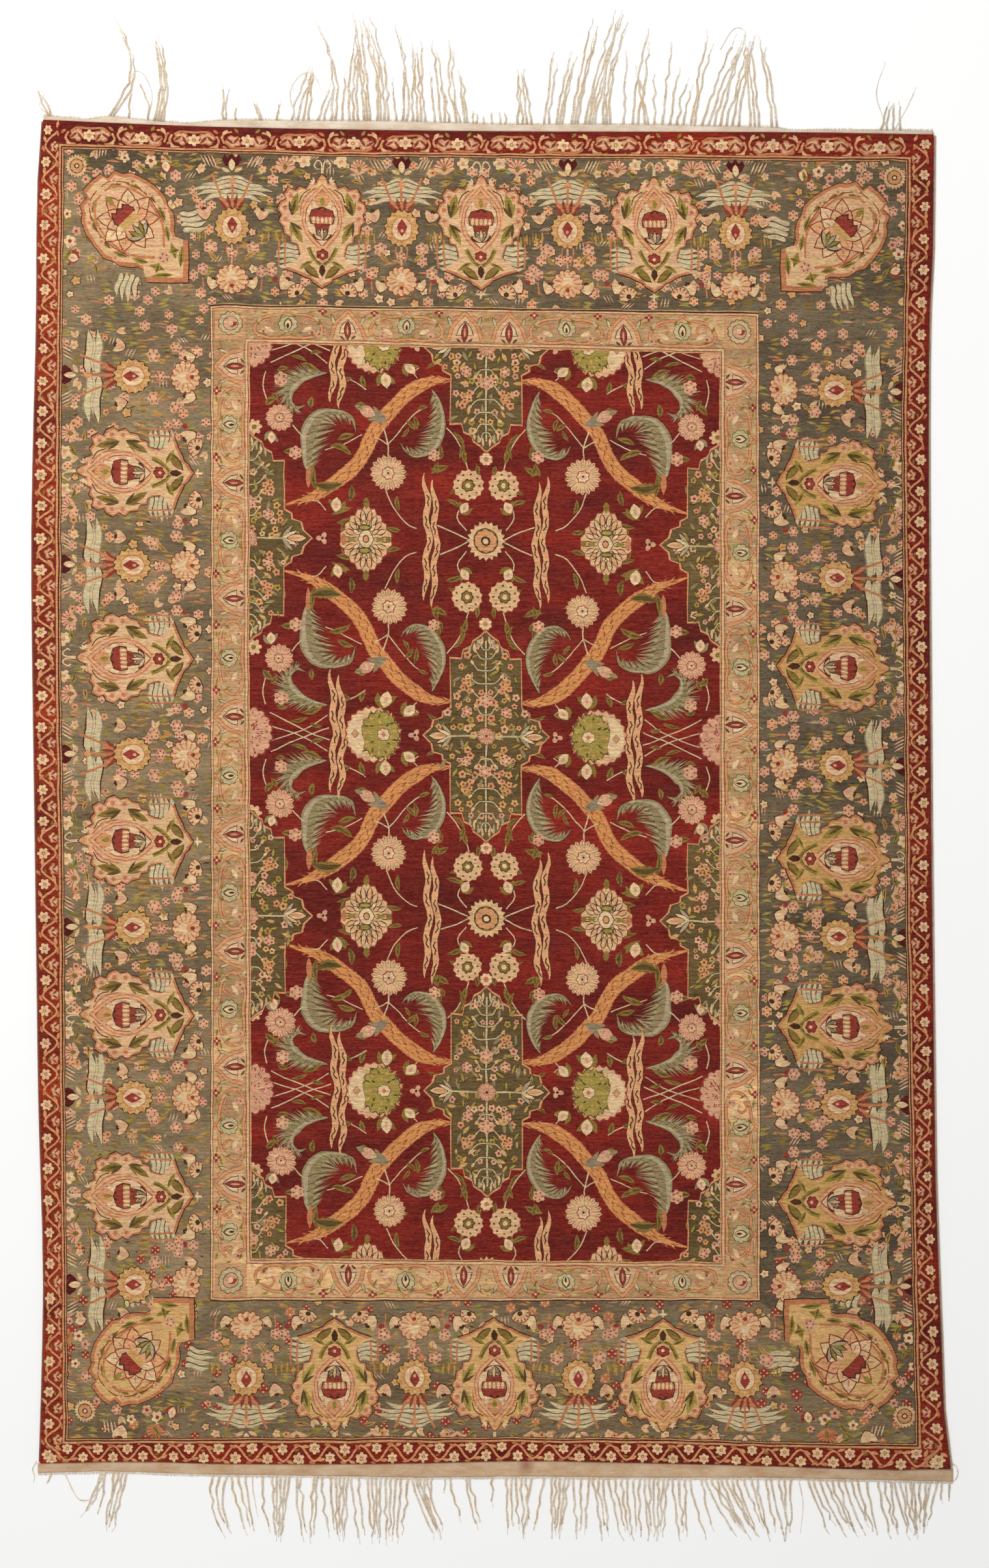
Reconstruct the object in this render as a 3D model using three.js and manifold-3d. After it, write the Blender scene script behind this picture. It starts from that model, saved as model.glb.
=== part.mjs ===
// A silk pile rug, laid flat: the knotted pile cloth, an overcast cord down each side, a flatwoven
// band at the upper end, a cotton tape sewn along the lower end, and the worn warp fringe of both.
// Millimetres, +Z up. The origin is on the floor under the middle of the rug, +X runs across it
// and +Y along it, towards the end with the flatwoven band.
import * as THREE from "three";
import { mergeVertices } from "three/addons/utils/BufferGeometryUtils.js";
import Module from "manifold-3d";

const wasm = await Module();
wasm.setup();

// Driving dimensions
const PILE_THICKNESS = 4.5; // knots and foundation together
const PILE_ROUNDING = 1.2; // the pile's clipped rim
const CORD_WIDTH = { left: 2.0, right: 3.0 }; // the overcast cord of each side
const CORD_THICKNESS = 2.8;
const CORD_ROUNDING = 0.35; // as a share of its width
const BAND_THICKNESS = 1.8; // flatwoven silk and cotton
const TAPE_THICKNESS = 1.5; // cotton tape over the lower end
const ROOT_WIDTH = 2.0; // the strip in which the warps leave the cloth
const ROOT_THICKNESS = 1.4;
const CLOTH_ROUNDING = 0.3; // the rims of the band, the tape and the strips of roots
const STRAND = { width: 2.4, height: 1.1, tip: 0.4 }; // at its root, and its tip's share of that
const STRAND_SHORTER = 0.07; // how much each next strand of a lock may fall short, as a share
const LEAN_CURL = 1.2; // above 1, a strand leans more towards its tip
const GAP = 0.3; // between neighbouring pieces
const EDGE_STEP = 78; // spacing of the points along an edge
const STRAND_STEP = 24; // length of one stretch of a strand

// The pile cloth's four edges, a row for each place where the line turns: x, y
const LEFT_EDGE = [
  [-610.4, -908.4],
  [-606.5, -778],
  [-604.7, -689],
  [-605.6, -600],
  [-611, -423],
  [-613.6, -245],
  [-616, -67],
  [-620.7, 288],
  [-619, 465],
  [-614.5, 643],
  [-613, 820],
  [-606.5, 923.5],
];
const RIGHT_EDGE = [
  [631.4, -915.5],
  [623.4, -867],
  [620, -778],
  [616.3, -689],
  [610, -511],
  [609, -423],
  [604.7, -67],
  [602, 288],
  [601, 465],
  [602, 643],
  [606.5, 732],
  [608.3, 903.5],
];
const UPPER_EDGE = [
  [-606.5, 923.5],
  [-487.5, 918.2],
  [-398.7, 914.6],
  [-292.2, 912],
  [-132.3, 909.3],
  [45.3, 907.5],
  [209.6, 907.2],
  [400.5, 906.6],
  [489.3, 905.8],
  [563, 904],
  [608.3, 903.5],
];
const LOWER_EDGE = [
  [-610.4, -908.4],
  [-482.2, -905.8],
  [-365.9, -909],
  [-142.1, -909],
  [45.3, -904.9],
  [175.8, -907.1],
  [382.7, -912],
  [531.9, -917.3],
  [631.4, -915.5],
];

// The outer edges of the flatwoven band and of the tape, where the fringe leaves them: x, y
const BAND_EDGE = [
  [-606.5, 931.8],
  [-547.9, 925.6],
  [-514.2, 930.6],
  [-470.6, 925.6],
  [-412, 920.4],
  [-358.8, 925.3],
  [-128.8, 923.8],
  [27.5, 919.1],
  [209.6, 919.1],
  [394, 915],
  [412, 911.3],
  [563, 911.1],
  [608.3, 909.8],
];
const TAPE_EDGE = [
  [-614, -924.4],
  [-522.1, -921.7],
  [-380.1, -926.2],
  [-292.2, -927.1],
  [-89.7, -930.5],
  [45.3, -928.8],
  [199.8, -930.5],
  [382.7, -930.5],
  [635, -936],
];

// The locks of warp fringe, a row for each. Its root's middle and spread along the edge, its
// number of strands, how far it reaches out, how far its tip leans, how far it bows on the way,
// and how wide its strands lie apart at the tip, as a share of their spread at the root
const LOCK = ["root", "spread", "strands", "reach", "lean", "bow", "open"];
const UPPER_LOCKS = [
  [-598, 3, 2, 41, -19, 0, 1.4],
  [-514, 4, 2, 136, 6, 27, 1.5],
  [-490, 2, 1, 50, 5, 0, 1],
  [-464, 2, 1, 58, -18, 6, 1],
  [-449, 12, 4, 118, -4, 8, 0.5],
  [-359, 3, 2, 50, 0, 0, 3],
  [-344, 2, 1, 20, 0, 0, 1],
  [-310, 3, 2, 27, -6, 0, 1.5],
  [-288, 2, 1, 27, 5, 0, 1],
  [-256, 23, 4, 75, 16, 0, 0.3],
  [-228, 9, 2, 50, 17, 0, 0.6],
  [-211, 5, 2, 138, -18, 8, 1.4],
  [-199, 2, 1, 67, 5, 0, 1],
  [-183, 12, 3, 116, 7, -4, 0.6],
  [-165, 8, 3, 147, -14, 0, 1.2],
  [-144, 15, 4, 144, -22, 5, 0.7],
  [-125, 2, 1, 60, -6, 0, 1],
  [-114, 5, 2, 134, -10, 6, 1],
  [-94, 17, 4, 110, -4, 0, 0.7],
  [-73, 2, 1, 70, -6, 0, 1],
  [-62, 5, 2, 113, -11, 0, 1],
  [-53, 2, 1, 48, -8, 0, 1],
  [-40, 5, 2, 114, -11, -6, 1],
  [-30, 4, 2, 73, -8, 0, 1],
  [-18, 4, 2, 18, 0, 0, 1],
  [-6, 2, 1, 11, 0, 0, 1],
  [5, 2, 1, 16, 0, 0, 1],
  [16, 2, 1, 17, 0, 0, 1],
  [23, 2, 1, 17, 0, 0, 1],
  [50, 19, 4, 76, -6, 0, 0.5],
  [80, 7, 2, 99, 11, 0, 0.7],
  [97, 8, 3, 100, 20, 0, 0.8],
  [118, 8, 3, 144, 29, 0, 1],
  [139, 13, 4, 156, 39, 0, 0.8],
  [162, 9, 3, 150, 27, -8, 0.8],
  [185, 2, 1, 100, 5, 0, 1],
  [201, 7, 2, 131, 20, 0, 0.8],
  [216, 4, 2, 80, -12, 0, 1],
  [227, 2, 1, 69, 0, 0, 1],
  [238, 2, 1, 113, 14, 0, 1],
  [248, 2, 1, 77, 13, 0, 1],
  [262, 9, 2, 65, 12, 0, 0.7],
  [279, 5, 2, 131, 25, 0, 1],
  [317, 50, 7, 125, 35, 0, 0.5],
  [364, 12, 3, 126, -10, 0, 0.7],
  [391, 7, 2, 128, -18, 0, 1],
  [549, 27, 4, 40, 4, 0, 0.5],
];
const LOWER_LOCKS = [
  [-596, 2, 1, 14, -5, 0, 1],
  [-525, 5, 3, 62, -19, 0, 4],
  [-502, 17, 4, 81, -16, 0, 0.5],
  [-366, 20, 3, 86, 12, -8, 0.4],
  [-341, 20, 3, 82, 17, 0, 0.5],
  [-307, 2, 1, 78, 11, -4, 1],
  [-283, 24, 5, 90, -2, 0, 0.35],
  [-259, 5, 2, 90, 8, 0, 1],
  [-236, 5, 2, 92, -4, 0, 1],
  [-221, 12, 2, 84, 8, 0, 0.6],
  [-200, 17, 4, 88, 0, 0, 0.5],
  [-182, 10, 2, 92, 10, 0, 0.7],
  [-156, 18, 4, 90, 4, 0, 0.5],
  [-133, 14, 3, 93, -1, 0, 0.6],
  [-114, 10, 2, 90, -7, 0, 0.7],
  [-94, 20, 5, 84, 28, 0, 0.6],
  [-68, 18, 2, 24, 0, 0, 1],
  [-52, 3, 1, 60, 16, 0, 1],
  [-28, 5, 2, 71, 16, 0, 1],
  [6, 3, 1, 41, 0, 0, 1],
  [38, 26, 5, 78, 4, 0, 1.1],
  [68, 17, 2, 84, -13, 0, 0.8],
  [98, 24, 5, 84, -4, 0, 0.5],
  [127, 22, 3, 84, 0, 0, 0.5],
  [150, 15, 3, 86, 12, 0, 0.6],
  [173, 18, 3, 86, 15, 0, 0.5],
  [198, 17, 3, 86, 5, 0, 0.6],
  [229, 32, 6, 86, 0, 0, 0.6],
  [260, 18, 3, 86, 7, 0, 0.5],
  [283, 16, 2, 84, 20, 0, 0.6],
  [304, 16, 3, 80, 41, 0, 0.7],
  [325, 14, 3, 84, 38, 0, 0.7],
  [349, 20, 3, 80, 27, 0, 0.6],
  [373, 12, 2, 86, 16, 0, 0.7],
  [391, 10, 2, 86, 19, 0, 0.7],
  [409, 9, 2, 86, 2, 0, 0.7],
  [440, 7, 2, 75, 30, 0, 1],
  [465, 26, 4, 79, 32, 0, 0.6],
  [495, 18, 3, 76, 26, 0, 0.7],
  [517, 2, 1, 75, 15, 0, 1],
  [541, 17, 3, 79, 15, 0, 0.6],
  [565, 22, 4, 80, 17, 0, 0.5],
  [589, 16, 3, 76, 2, 0, 0.6],
  [608, 9, 2, 70, -13, 0, 0.7],
  [624, 10, 2, 30, 0, 0, 1],
];

const points = (rows) => rows.map(([x, y]) => new THREE.Vector2(x, y));
const shifted = (line, dx, dy) =>
  line.map((p) => new THREE.Vector2(p.x + dx, p.y + dy));

// The smooth line through an edge's rows, as evenly spaced points.
function smooth(rows) {
  const curve = new THREE.SplineCurve(points(rows));
  return curve.getSpacedPoints(Math.round(curve.getLength() / EDGE_STEP));
}

// The height, y, of a line that runs along x.
function heightAt(line, x) {
  const found = line.findIndex((p) => p.x > x);
  const i = found < 0 ? line.length - 1 : Math.max(found, 1);
  const [a, b] = [line[i - 1], line[i]];
  return a.y + ((b.y - a.y) * (x - a.x)) / (b.x - a.x);
}

// A flat piece of cloth: its outline, given anticlockwise, at full thickness with a rounded rim.
function sheet(outline, thickness, rounding, rounds = 1) {
  return new THREE.ExtrudeGeometry(new THREE.Shape(outline), {
    depth: thickness - 2 * rounding,
    bevelEnabled: true,
    bevelSize: rounding,
    bevelThickness: rounding,
    bevelOffset: -rounding,
    bevelSegments: rounds,
  }).translate(0, 0, rounding);
}

// The outline between two lines that both run the same way.
const between = (outer, inner) => [...outer, ...[...inner].reverse()];

// The edges, each from its lower or left end
const left = smooth(LEFT_EDGE);
const right = smooth(RIGHT_EDGE);
const upper = smooth(UPPER_EDGE);
const lower = smooth(LOWER_EDGE);
const bandEdge = points(BAND_EDGE);
const tapeEdge = points(TAPE_EDGE);

// The knotted cloth, one flat solid with the worn and pulled outline of the real one.
const pile = () =>
  sheet(
    [
      ...lower,
      ...right.slice(1),
      ...[...upper].reverse().slice(1),
      ...[...left].reverse().slice(1, -1),
    ],
    PILE_THICKNESS,
    PILE_ROUNDING,
    2,
  );

// The overcast cord along one side, just clear of the pile. side is -1 on the left and 1 on the right.
function sideCord(edge, side, width) {
  const inner = shifted(edge, side * GAP, 0);
  const outer = shifted(edge, side * (GAP + width), 0);
  const outline = side > 0 ? between(inner, outer) : between(outer, inner);
  return sheet(outline.reverse(), CORD_THICKNESS, width * CORD_ROUNDING);
}

// The woven band beyond an end of the pile, up to the strip that the warps leave. end is 1 or -1.
function endCloth(edge, outer, end, thickness) {
  const inner = shifted(edge, 0, end * GAP);
  inner[0].x = outer[0].x;
  inner.at(-1).x = outer.at(-1).x;
  const far = shifted(outer, 0, -end * (ROOT_WIDTH + GAP));
  const outline = end > 0 ? between(inner, far) : between(far, inner);
  return sheet(outline, thickness, CLOTH_ROUNDING);
}

function solid(geometry) {
  const bare = geometry.clone();
  bare.deleteAttribute("normal");
  bare.deleteAttribute("uv");
  const merged = mergeVertices(bare, 1e-4);
  return new wasm.Manifold(
    new wasm.Mesh({
      numProp: 3,
      vertProperties: merged.attributes.position.array,
      triVerts: new Uint32Array(merged.index.array),
    }),
  );
}

function geometryOf(made) {
  const { vertProperties, triVerts } = made.getMesh();
  const geometry = new THREE.BufferGeometry();
  geometry.setAttribute(
    "position",
    new THREE.BufferAttribute(vertProperties, 3),
  );
  geometry.setIndex(new THREE.BufferAttribute(triVerts, 1));
  geometry.computeVertexNormals();
  return geometry;
}

// One strand: a three-sided ridge that lies on the floor along its path and thins towards its tip.
function strand(path) {
  const corners = [];
  const faces = [];
  const last = path.length - 1;
  path.forEach((p, i) => {
    const share = i / last;
    const thin = 1 - (1 - STRAND.tip) * share;
    const ahead = path[Math.min(i + 1, last)]
      .clone()
      .sub(path[Math.max(i - 1, 0)])
      .normalize();
    const half = (STRAND.width / 2) * thin;
    corners.push(
      [p.x - ahead.y * half, p.y + ahead.x * half, 0],
      [p.x + ahead.y * half, p.y - ahead.x * half, 0],
      [p.x, p.y, STRAND.height * thin],
    );
    if (i === last) return;
    const at = 3 * i;
    for (let k = 0; k < 3; k++) {
      const [a, b] = [at + k, at + ((k + 1) % 3)];
      faces.push(a, a + 3, b, b, a + 3, b + 3);
    }
  });
  faces.push(0, 1, 2, 3 * last + 1, 3 * last, 3 * last + 2);
  const geometry = new THREE.BufferGeometry();
  geometry.setAttribute(
    "position",
    new THREE.Float32BufferAttribute(corners.flat(), 3),
  );
  geometry.setIndex(faces);
  return geometry;
}

// The strands of one lock, fanned out over its spread, each a little shorter than the last.
function lockStrands(row, edge, end) {
  const lock = Object.fromEntries(LOCK.map((name, i) => [name, row[i]]));
  return Array.from({ length: lock.strands }, (_, i) => {
    const across =
      lock.strands > 1 ? (i / (lock.strands - 1) - 0.5) * lock.spread : 0;
    const reach = lock.reach * (1 - STRAND_SHORTER * ((i * 2) % 3));
    const root = lock.root + across;
    const rise = heightAt(edge, root) - (end * ROOT_WIDTH) / 2;
    const steps = Math.max(2, Math.round(reach / STRAND_STEP));
    return strand(
      Array.from({ length: steps + 1 }, (__, k) => {
        const t = k / steps;
        const drift = across * (lock.open - 1) * t;
        return new THREE.Vector2(
          root + drift + lock.lean * t ** LEAN_CURL + lock.bow * Math.sin(Math.PI * t),
          rise + end * reach * t,
        );
      }),
    );
  });
}

// The narrow strip of roots along an end's outer edge, with all its strands grown out of it.
function fringe(edge, end, locks) {
  const inner = shifted(edge, 0, -end * ROOT_WIDTH);
  const outline = end > 0 ? between(inner, edge) : between(edge, inner);
  let made = solid(sheet(outline, ROOT_THICKNESS, CLOTH_ROUNDING));
  for (const row of locks)
    for (const one of lockStrands(row, edge, end)) made = made.add(solid(one));
  return geometryOf(made);
}

const MATERIALS = {
  pile: { color: 0x7a3a34, roughness: 0.75 },
  cord: { color: 0xb99a86, roughness: 0.8 },
  band: { color: 0xd8c2a2, roughness: 0.85 },
  tape: { color: 0xe3c7a2, roughness: 0.9 },
  fringe: { color: 0xd9c6a8, roughness: 0.85 },
};

const rug = new THREE.Group();
rug.name = "silk_rug";

function piece(name, geometry, finish) {
  const material = new THREE.MeshStandardMaterial({
    ...MATERIALS[finish],
    metalness: 0,
  });
  const mesh = new THREE.Mesh(geometry, material);
  mesh.name = name;
  rug.add(mesh);
}

piece("rug_pile", pile(), "pile");
piece("left_side_cord", sideCord(left, -1, CORD_WIDTH.left), "cord");
piece("right_side_cord", sideCord(right, 1, CORD_WIDTH.right), "cord");
piece("upper_end_band", endCloth(upper, bandEdge, 1, BAND_THICKNESS), "band");
piece("lower_end_tape", endCloth(lower, tapeEdge, -1, TAPE_THICKNESS), "tape");
piece("upper_fringe", fringe(bandEdge, 1, UPPER_LOCKS), "fringe");
piece("lower_fringe", fringe(tapeEdge, -1, LOWER_LOCKS), "fringe");

export default rug;
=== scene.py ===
# A silk pile rug with worn warp fringe, laid flat and seen from straight above.
import cmath
import math
import random

import bmesh
import bpy
import numpy as np
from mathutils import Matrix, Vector, noise
from mathutils.geometry import delaunay_2d_cdt


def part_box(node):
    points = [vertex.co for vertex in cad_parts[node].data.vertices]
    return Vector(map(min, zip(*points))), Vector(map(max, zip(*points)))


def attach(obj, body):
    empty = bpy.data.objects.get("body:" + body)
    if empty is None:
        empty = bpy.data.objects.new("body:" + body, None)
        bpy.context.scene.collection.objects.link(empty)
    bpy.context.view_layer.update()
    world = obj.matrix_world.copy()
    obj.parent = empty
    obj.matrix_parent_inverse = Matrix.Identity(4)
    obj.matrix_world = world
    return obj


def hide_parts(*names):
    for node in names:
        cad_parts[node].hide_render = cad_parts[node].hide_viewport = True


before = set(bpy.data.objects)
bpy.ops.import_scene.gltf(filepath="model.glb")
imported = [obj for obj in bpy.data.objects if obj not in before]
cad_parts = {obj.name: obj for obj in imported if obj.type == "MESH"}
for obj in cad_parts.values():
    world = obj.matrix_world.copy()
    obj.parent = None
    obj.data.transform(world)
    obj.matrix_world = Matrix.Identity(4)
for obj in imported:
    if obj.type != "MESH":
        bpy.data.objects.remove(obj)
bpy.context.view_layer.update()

# Floor, light and camera
# A pale seamless studio floor under flat, soft light, with the camera straight above the rug.
scene = bpy.context.scene
FLOOR_SIZE = 14.0
FLOOR_DROP = 0.0003
CAMERA_LENS = 85.0
CAMERA_AT = (0.0093, 0.0178, 5.052)

floor_mesh = bpy.data.meshes.new("floor")
half = FLOOR_SIZE / 2
floor_mesh.from_pydata(
    [(-half, -half, 0), (half, -half, 0), (half, half, 0), (-half, half, 0)],
    [],
    [(0, 1, 2, 3)],
)
floor = bpy.data.objects.new("floor", floor_mesh)
floor.location.z = -FLOOR_DROP
scene.collection.objects.link(floor)
floor_paint = bpy.data.materials.new("floor_paint")
floor_paint.use_nodes = True
floor_shader = floor_paint.node_tree.nodes["Principled BSDF"]
floor_shader.inputs["Base Color"].default_value = (0.96, 0.96, 0.955, 1)
floor_shader.inputs["Roughness"].default_value = 0.9
floor_shader.inputs["Emission Color"].default_value = (1, 1, 1, 1)
floor_shader.inputs["Emission Strength"].default_value = 0.09
floor_shader.inputs["Specular IOR Level"].default_value = 0.1
floor_mesh.materials.append(floor_paint)

world = bpy.data.worlds.new("studio")
world.use_nodes = True
world.node_tree.nodes["Background"].inputs["Color"].default_value = (1, 0.995, 0.985, 1)
world.node_tree.nodes["Background"].inputs["Strength"].default_value = 0.56
scene.world = world
key = bpy.data.lights.new("key", "AREA")
key.shape = "DISK"
key.size = 2.2
key.energy = 112
key_lamp = bpy.data.objects.new("key", key)
key_lamp.location = (-1.9, 2.3, 3.6)
key_lamp.rotation_euler = Vector((1.9, -2.3, -3.6)).to_track_quat("-Z", "Y").to_euler()
scene.collection.objects.link(key_lamp)

camera = bpy.data.cameras.new("camera")
camera.lens = CAMERA_LENS
camera.sensor_width = 36
camera_object = bpy.data.objects.new("camera", camera)
camera_object.location = CAMERA_AT
scene.collection.objects.link(camera_object)
scene.camera = camera_object
scene.view_settings.view_transform = "Standard"

# Foundation cloth
# Cotton warps and wefts under the knots, one sheet from side to side. Its underside shows the
# backs of the knots, and its edges are where the finished rug is pulled and worn out of square.
KNOT = 0.000888
PILE_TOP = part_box("rug_pile")[1].z
FOUNDATION_TOP = 0.0032
RIM_INSET = 0.0009


def rim_of(node, low, high):
    """The outline of a CAD node between two shares of its height, anticlockwise, in metres."""
    points = np.array([v.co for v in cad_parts[node].data.vertices])
    top = points[:, 2].max()
    ring = points[(points[:, 2] > low * top) & (points[:, 2] < high * top)][:, :2]
    ring = np.unique(np.round(ring, 6), axis=0)
    centre = ring.mean(0)
    angle = np.arctan2(ring[:, 1] - centre[1], ring[:, 0] - centre[0])
    return ring[np.argsort(angle)]


outline = rim_of("rug_pile", 0.6, 0.8)
corner = {
    (sx, sy): int(np.argmax(sx * outline[:, 0] + sy * outline[:, 1])) for sx in (-1, 1) for sy in (-1, 1)
}


def edge_between(start, end):
    """The rim from one corner to the next, anticlockwise, in knots."""
    i, j = corner[start], corner[end]
    picked = np.arange(i, j + 1 if j > i else j + 1 + len(outline)) % len(outline)
    return outline[picked] / KNOT


lower_rim = edge_between((-1, -1), (1, -1))
right_rim = edge_between((1, -1), (1, 1))
upper_rim = edge_between((1, 1), (-1, 1))[::-1]
left_rim = edge_between((-1, 1), (-1, -1))[::-1]

# Where the lines between the borders really run, in knots: at stations along the rug, the lines
# that run along it, and at stations across it, the lines that run across it
LINES_ALONG_AT = (-986, -176, 224, 574, 990)
LINES_ALONG = {
    "guard_left": (-647, -653, -658, -657, -653),
    "border_left": (-427, -425, -425, -425, -427),
    "field_left": (-362, -364, -366, -365, -364),
    "field_right": (357, 356, 356, 356, 356),
    "border_right": (419, 418, 418, 417, 417),
    "guard_right": (659, 644, 641, 638, 645),
}
LINES_ACROSS_AT = (-650, -249, 1, 251, 400, 650)
LINES_ACROSS = {
    "guard_low": (-988, -986, -985, -987, -991, -996),
    "border_low": (-774, -774, -774, -774, -774, -774),
    "field_low": (-706, -708, -711, -713, -714, -716),
    "field_top": (702, 694, 689, 683, 680, 674),
    "border_top": (761, 755, 752, 748, 746, 742),
    "guard_top": (998, 986, 984, 982, 980, 978),
}
SQUARE_X = (-692, -654, -426, -364, 356, 418, 644, 684)
SQUARE_Y = (-1023, -988, -774, -711, 687, 752, 984, 1027)


def between(at, stations, lines, first, last, square):
    """Moves places on the square chart to where the cloth has drawn them, one way."""
    levels = np.stack(
        [first] + [np.interp(at, stations, line) for line in lines.values()] + [last], axis=1
    )
    shares = np.array(square, float)

    def moved(values):
        k = np.clip(np.searchsorted(shares, values) - 1, 0, len(shares) - 2)
        t = (values - shares[k]) / (shares[k + 1] - shares[k])
        rows = np.arange(len(values))
        return levels[rows, k] * (1 - t) + levels[rows, k + 1] * t

    return moved


def laid_out(chart_points):
    """Places charted in knots, as complex numbers, to metres on the uneven cloth."""
    x, y = chart_points.real, chart_points.imag
    low = np.interp(x, lower_rim[:, 0], lower_rim[:, 1])
    top = np.interp(x, upper_rim[:, 0], upper_rim[:, 1])
    drawn_y = between(x, LINES_ACROSS_AT, LINES_ACROSS, low, top, SQUARE_Y)(y)
    left = np.interp(drawn_y, left_rim[:, 1], left_rim[:, 0])
    right = np.interp(drawn_y, right_rim[:, 1], right_rim[:, 0])
    drawn_x = between(drawn_y, LINES_ALONG_AT, LINES_ALONG, left, right, SQUARE_X)(x)
    from_rim = np.minimum.reduce(
        [x - SQUARE_X[0], SQUARE_X[-1] - x, y - SQUARE_Y[0], SQUARE_Y[-1] - y]
    )
    calm = np.clip(from_rim / 10, 0, 1)
    sway = np.array([noise.noise_vector(Vector((a / 31, b / 31, 0.3))) for a, b in zip(x, y)])
    shake = np.array([noise.noise_vector(Vector((a / 7, b / 7, 4.1))) for a, b in zip(x, y)])
    drawn_x = drawn_x + calm * (1.5 * sway[:, 0] + 0.5 * shake[:, 0])
    drawn_y = drawn_y + calm * (1.7 * sway[:, 1] + 0.5 * shake[:, 1])
    return np.stack([drawn_x * KNOT, drawn_y * KNOT], axis=1)


# Silk pile, field
# Silk knotted into the foundation and clipped to one height. The colours are inlaid knot by
# knot; here every coloured patch of the chart is a patch of the mesh.
DYES = {
    "wine": "53120a",
    "crimson": "731f14",
    "brick": "8a3c2a",
    "madder": "93392b",
    "slate": "64502f",
    "ash": "ad9a78",
    "gold": "c0986a",
    "ochre": "b58746",
    "apricot": "cd9161",
    "coral": "bd774e",
    "cream": "d8ac7e",
    "ivory": "dfbc8f",
    "rose": "cf9a78",
    "tan": "d3a57d",
    "sage": "93805a",
    "olive": "866a30",
    "moss": "5c4724",
    "umber": "4b2c18",
    "smoke": "8e7c62",
    "mint": "bfae80",
    "wine_guard": "721c0b",
    "pink": "d7a27c",
    "cloud": "cbb68c",
    "teal": "5f6c5c",
    "lime": "a08a42",
    "peach": "d99f70",
    "band": "cf8b50",
    "guard_left": "82280f",
    "gold_yarn": "c99a5c",
    "fern": "927c35",
    "honey": "d4a66b",
}


def dye(name):
    code = DYES[name]
    return tuple(int(code[k : k + 2], 16) / 255 for k in (0, 2, 4))


hand = random.Random(11)
chart = []
back_chart = []


def lay(put, shape, colour, ground=0.0):
    """Lays one coloured shape on the chart, over what is there. ground is how far its colour drifts, and how much of
    the painted pile shade it takes.
    """
    chart.append(([put(z) for z in shape], colour, ground))


def at(put, where, turn=0.0, size=1.0, flip=False):
    """The placing of a motif inside another one."""
    k = size * cmath.exp(1j * math.radians(turn))
    if flip:
        return lambda z: put(where + k * complex(-z.real, z.imag))
    return lambda z: put(where + k * z)


def loosely(put, where, turn=0.0, size=1.0, flip=False):
    """The same, a little off, as a weaver's hand is."""
    where += complex(hand.uniform(-1.2, 1.2), hand.uniform(-1.2, 1.2))
    return at(put, where, turn + hand.uniform(-5, 5), size * hand.uniform(0.94, 1.06), flip)


def oval(a, b=None, n=12, centre=0):
    b = a if b is None else b
    return [
        centre + complex(a * math.cos(2 * math.pi * k / n), b * math.sin(2 * math.pi * k / n)) for k in range(n)
    ]


def scallop(a, b=None, lobes=8, depth=0.2, per=3):
    """A round or oval with a lobed rim."""
    b = a if b is None else b
    n = lobes * per
    made = []
    for k in range(n):
        share = 1 - depth * (1 - abs(math.sin(math.pi * k / per)))
        angle = 2 * math.pi * k / n
        made.append(complex(a * share * math.cos(angle), b * share * math.sin(angle)))
    return made


def spikes(outer, inner, count, turn=0.0):
    """A star."""
    return [
        cmath.rect(outer if k % 2 == 0 else inner, math.pi * k / count + turn) for k in range(2 * count)
    ]


def leaf(length, width, bend=0.0, n=5):
    """A pointed leaf from 0 along +x."""
    upper = []
    lower = []
    for k in range(n + 1):
        t = k / n
        middle = complex(length * t, bend * math.sin(math.pi * t))
        side = 0.5 * width * math.sin(math.pi * t) ** 0.8
        upper.append(middle + 1j * side)
        lower.append(middle - 1j * side)
    return lower + upper[-2:0:-1]


def spline(points, per=5):
    """A smooth line through the points."""
    full = [2 * points[0] - points[1]] + list(points) + [2 * points[-1] - points[-2]]
    made = []
    for k in range(1, len(full) - 2):
        a, b, c, d = full[k - 1 : k + 3]
        for step in range(per):
            t = step / per
            made.append(
                0.5 * (2 * b + (c - a) * t + (2 * a - 5 * b + 4 * c - d) * t**2 + (3 * b - 3 * c + d - a) * t**3)
            )
    return made + [points[-1]]


def normals(path):
    ahead = [path[min(k + 1, len(path) - 1)] - path[max(k - 1, 0)] for k in range(len(path))]
    return [1j * v / (abs(v) or 1) for v in ahead]


def ribbon(path, left, right=None):
    """A strip along a path. left and right are its half widths, as numbers or as functions of the share."""
    right = left if right is None else right
    last = len(path) - 1
    sides = normals(path)

    def half(width, k):
        return width(k / last) if callable(width) else width

    near = [p + s * half(left, k) for k, (p, s) in enumerate(zip(path, sides))]
    far = [p - s * half(right, k) for k, (p, s) in enumerate(zip(path, sides))]
    return far + near[::-1]


def stem(put, points, width=1.6, colour="cream", per=4):
    lay(put, ribbon(spline(points, per), width / 2), colour)


def rosette(put, r, petals=12, rim="cream", heart="coral", core="ivory", depth=0.14):
    """A round flower of many petals, parted by dark lines that run in from its rim."""
    lay(put, scallop(r + 1.0, lobes=petals, depth=depth, per=2), "brick")
    lay(put, scallop(r, lobes=petals, depth=depth, per=2), rim)
    for n in range(2 * petals):
        along = cmath.rect(1, math.pi * n / petals)
        start = (0.64 if n % 2 else 0.36) * r
        lay(put, [along * z for z in (start, 0.94 * r - 0.55j, 0.94 * r + 0.55j)], "umber" if n % 2 else "brick")
    lay(put, scallop(0.4 * r, lobes=7, depth=0.2, per=2), "brick")
    lay(put, scallop(0.35 * r, lobes=7, depth=0.25, per=2), core)
    lay(put, oval(0.2 * r, n=6), heart)
    lay(put, oval(0.08 * r, n=4), "umber")


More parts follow.
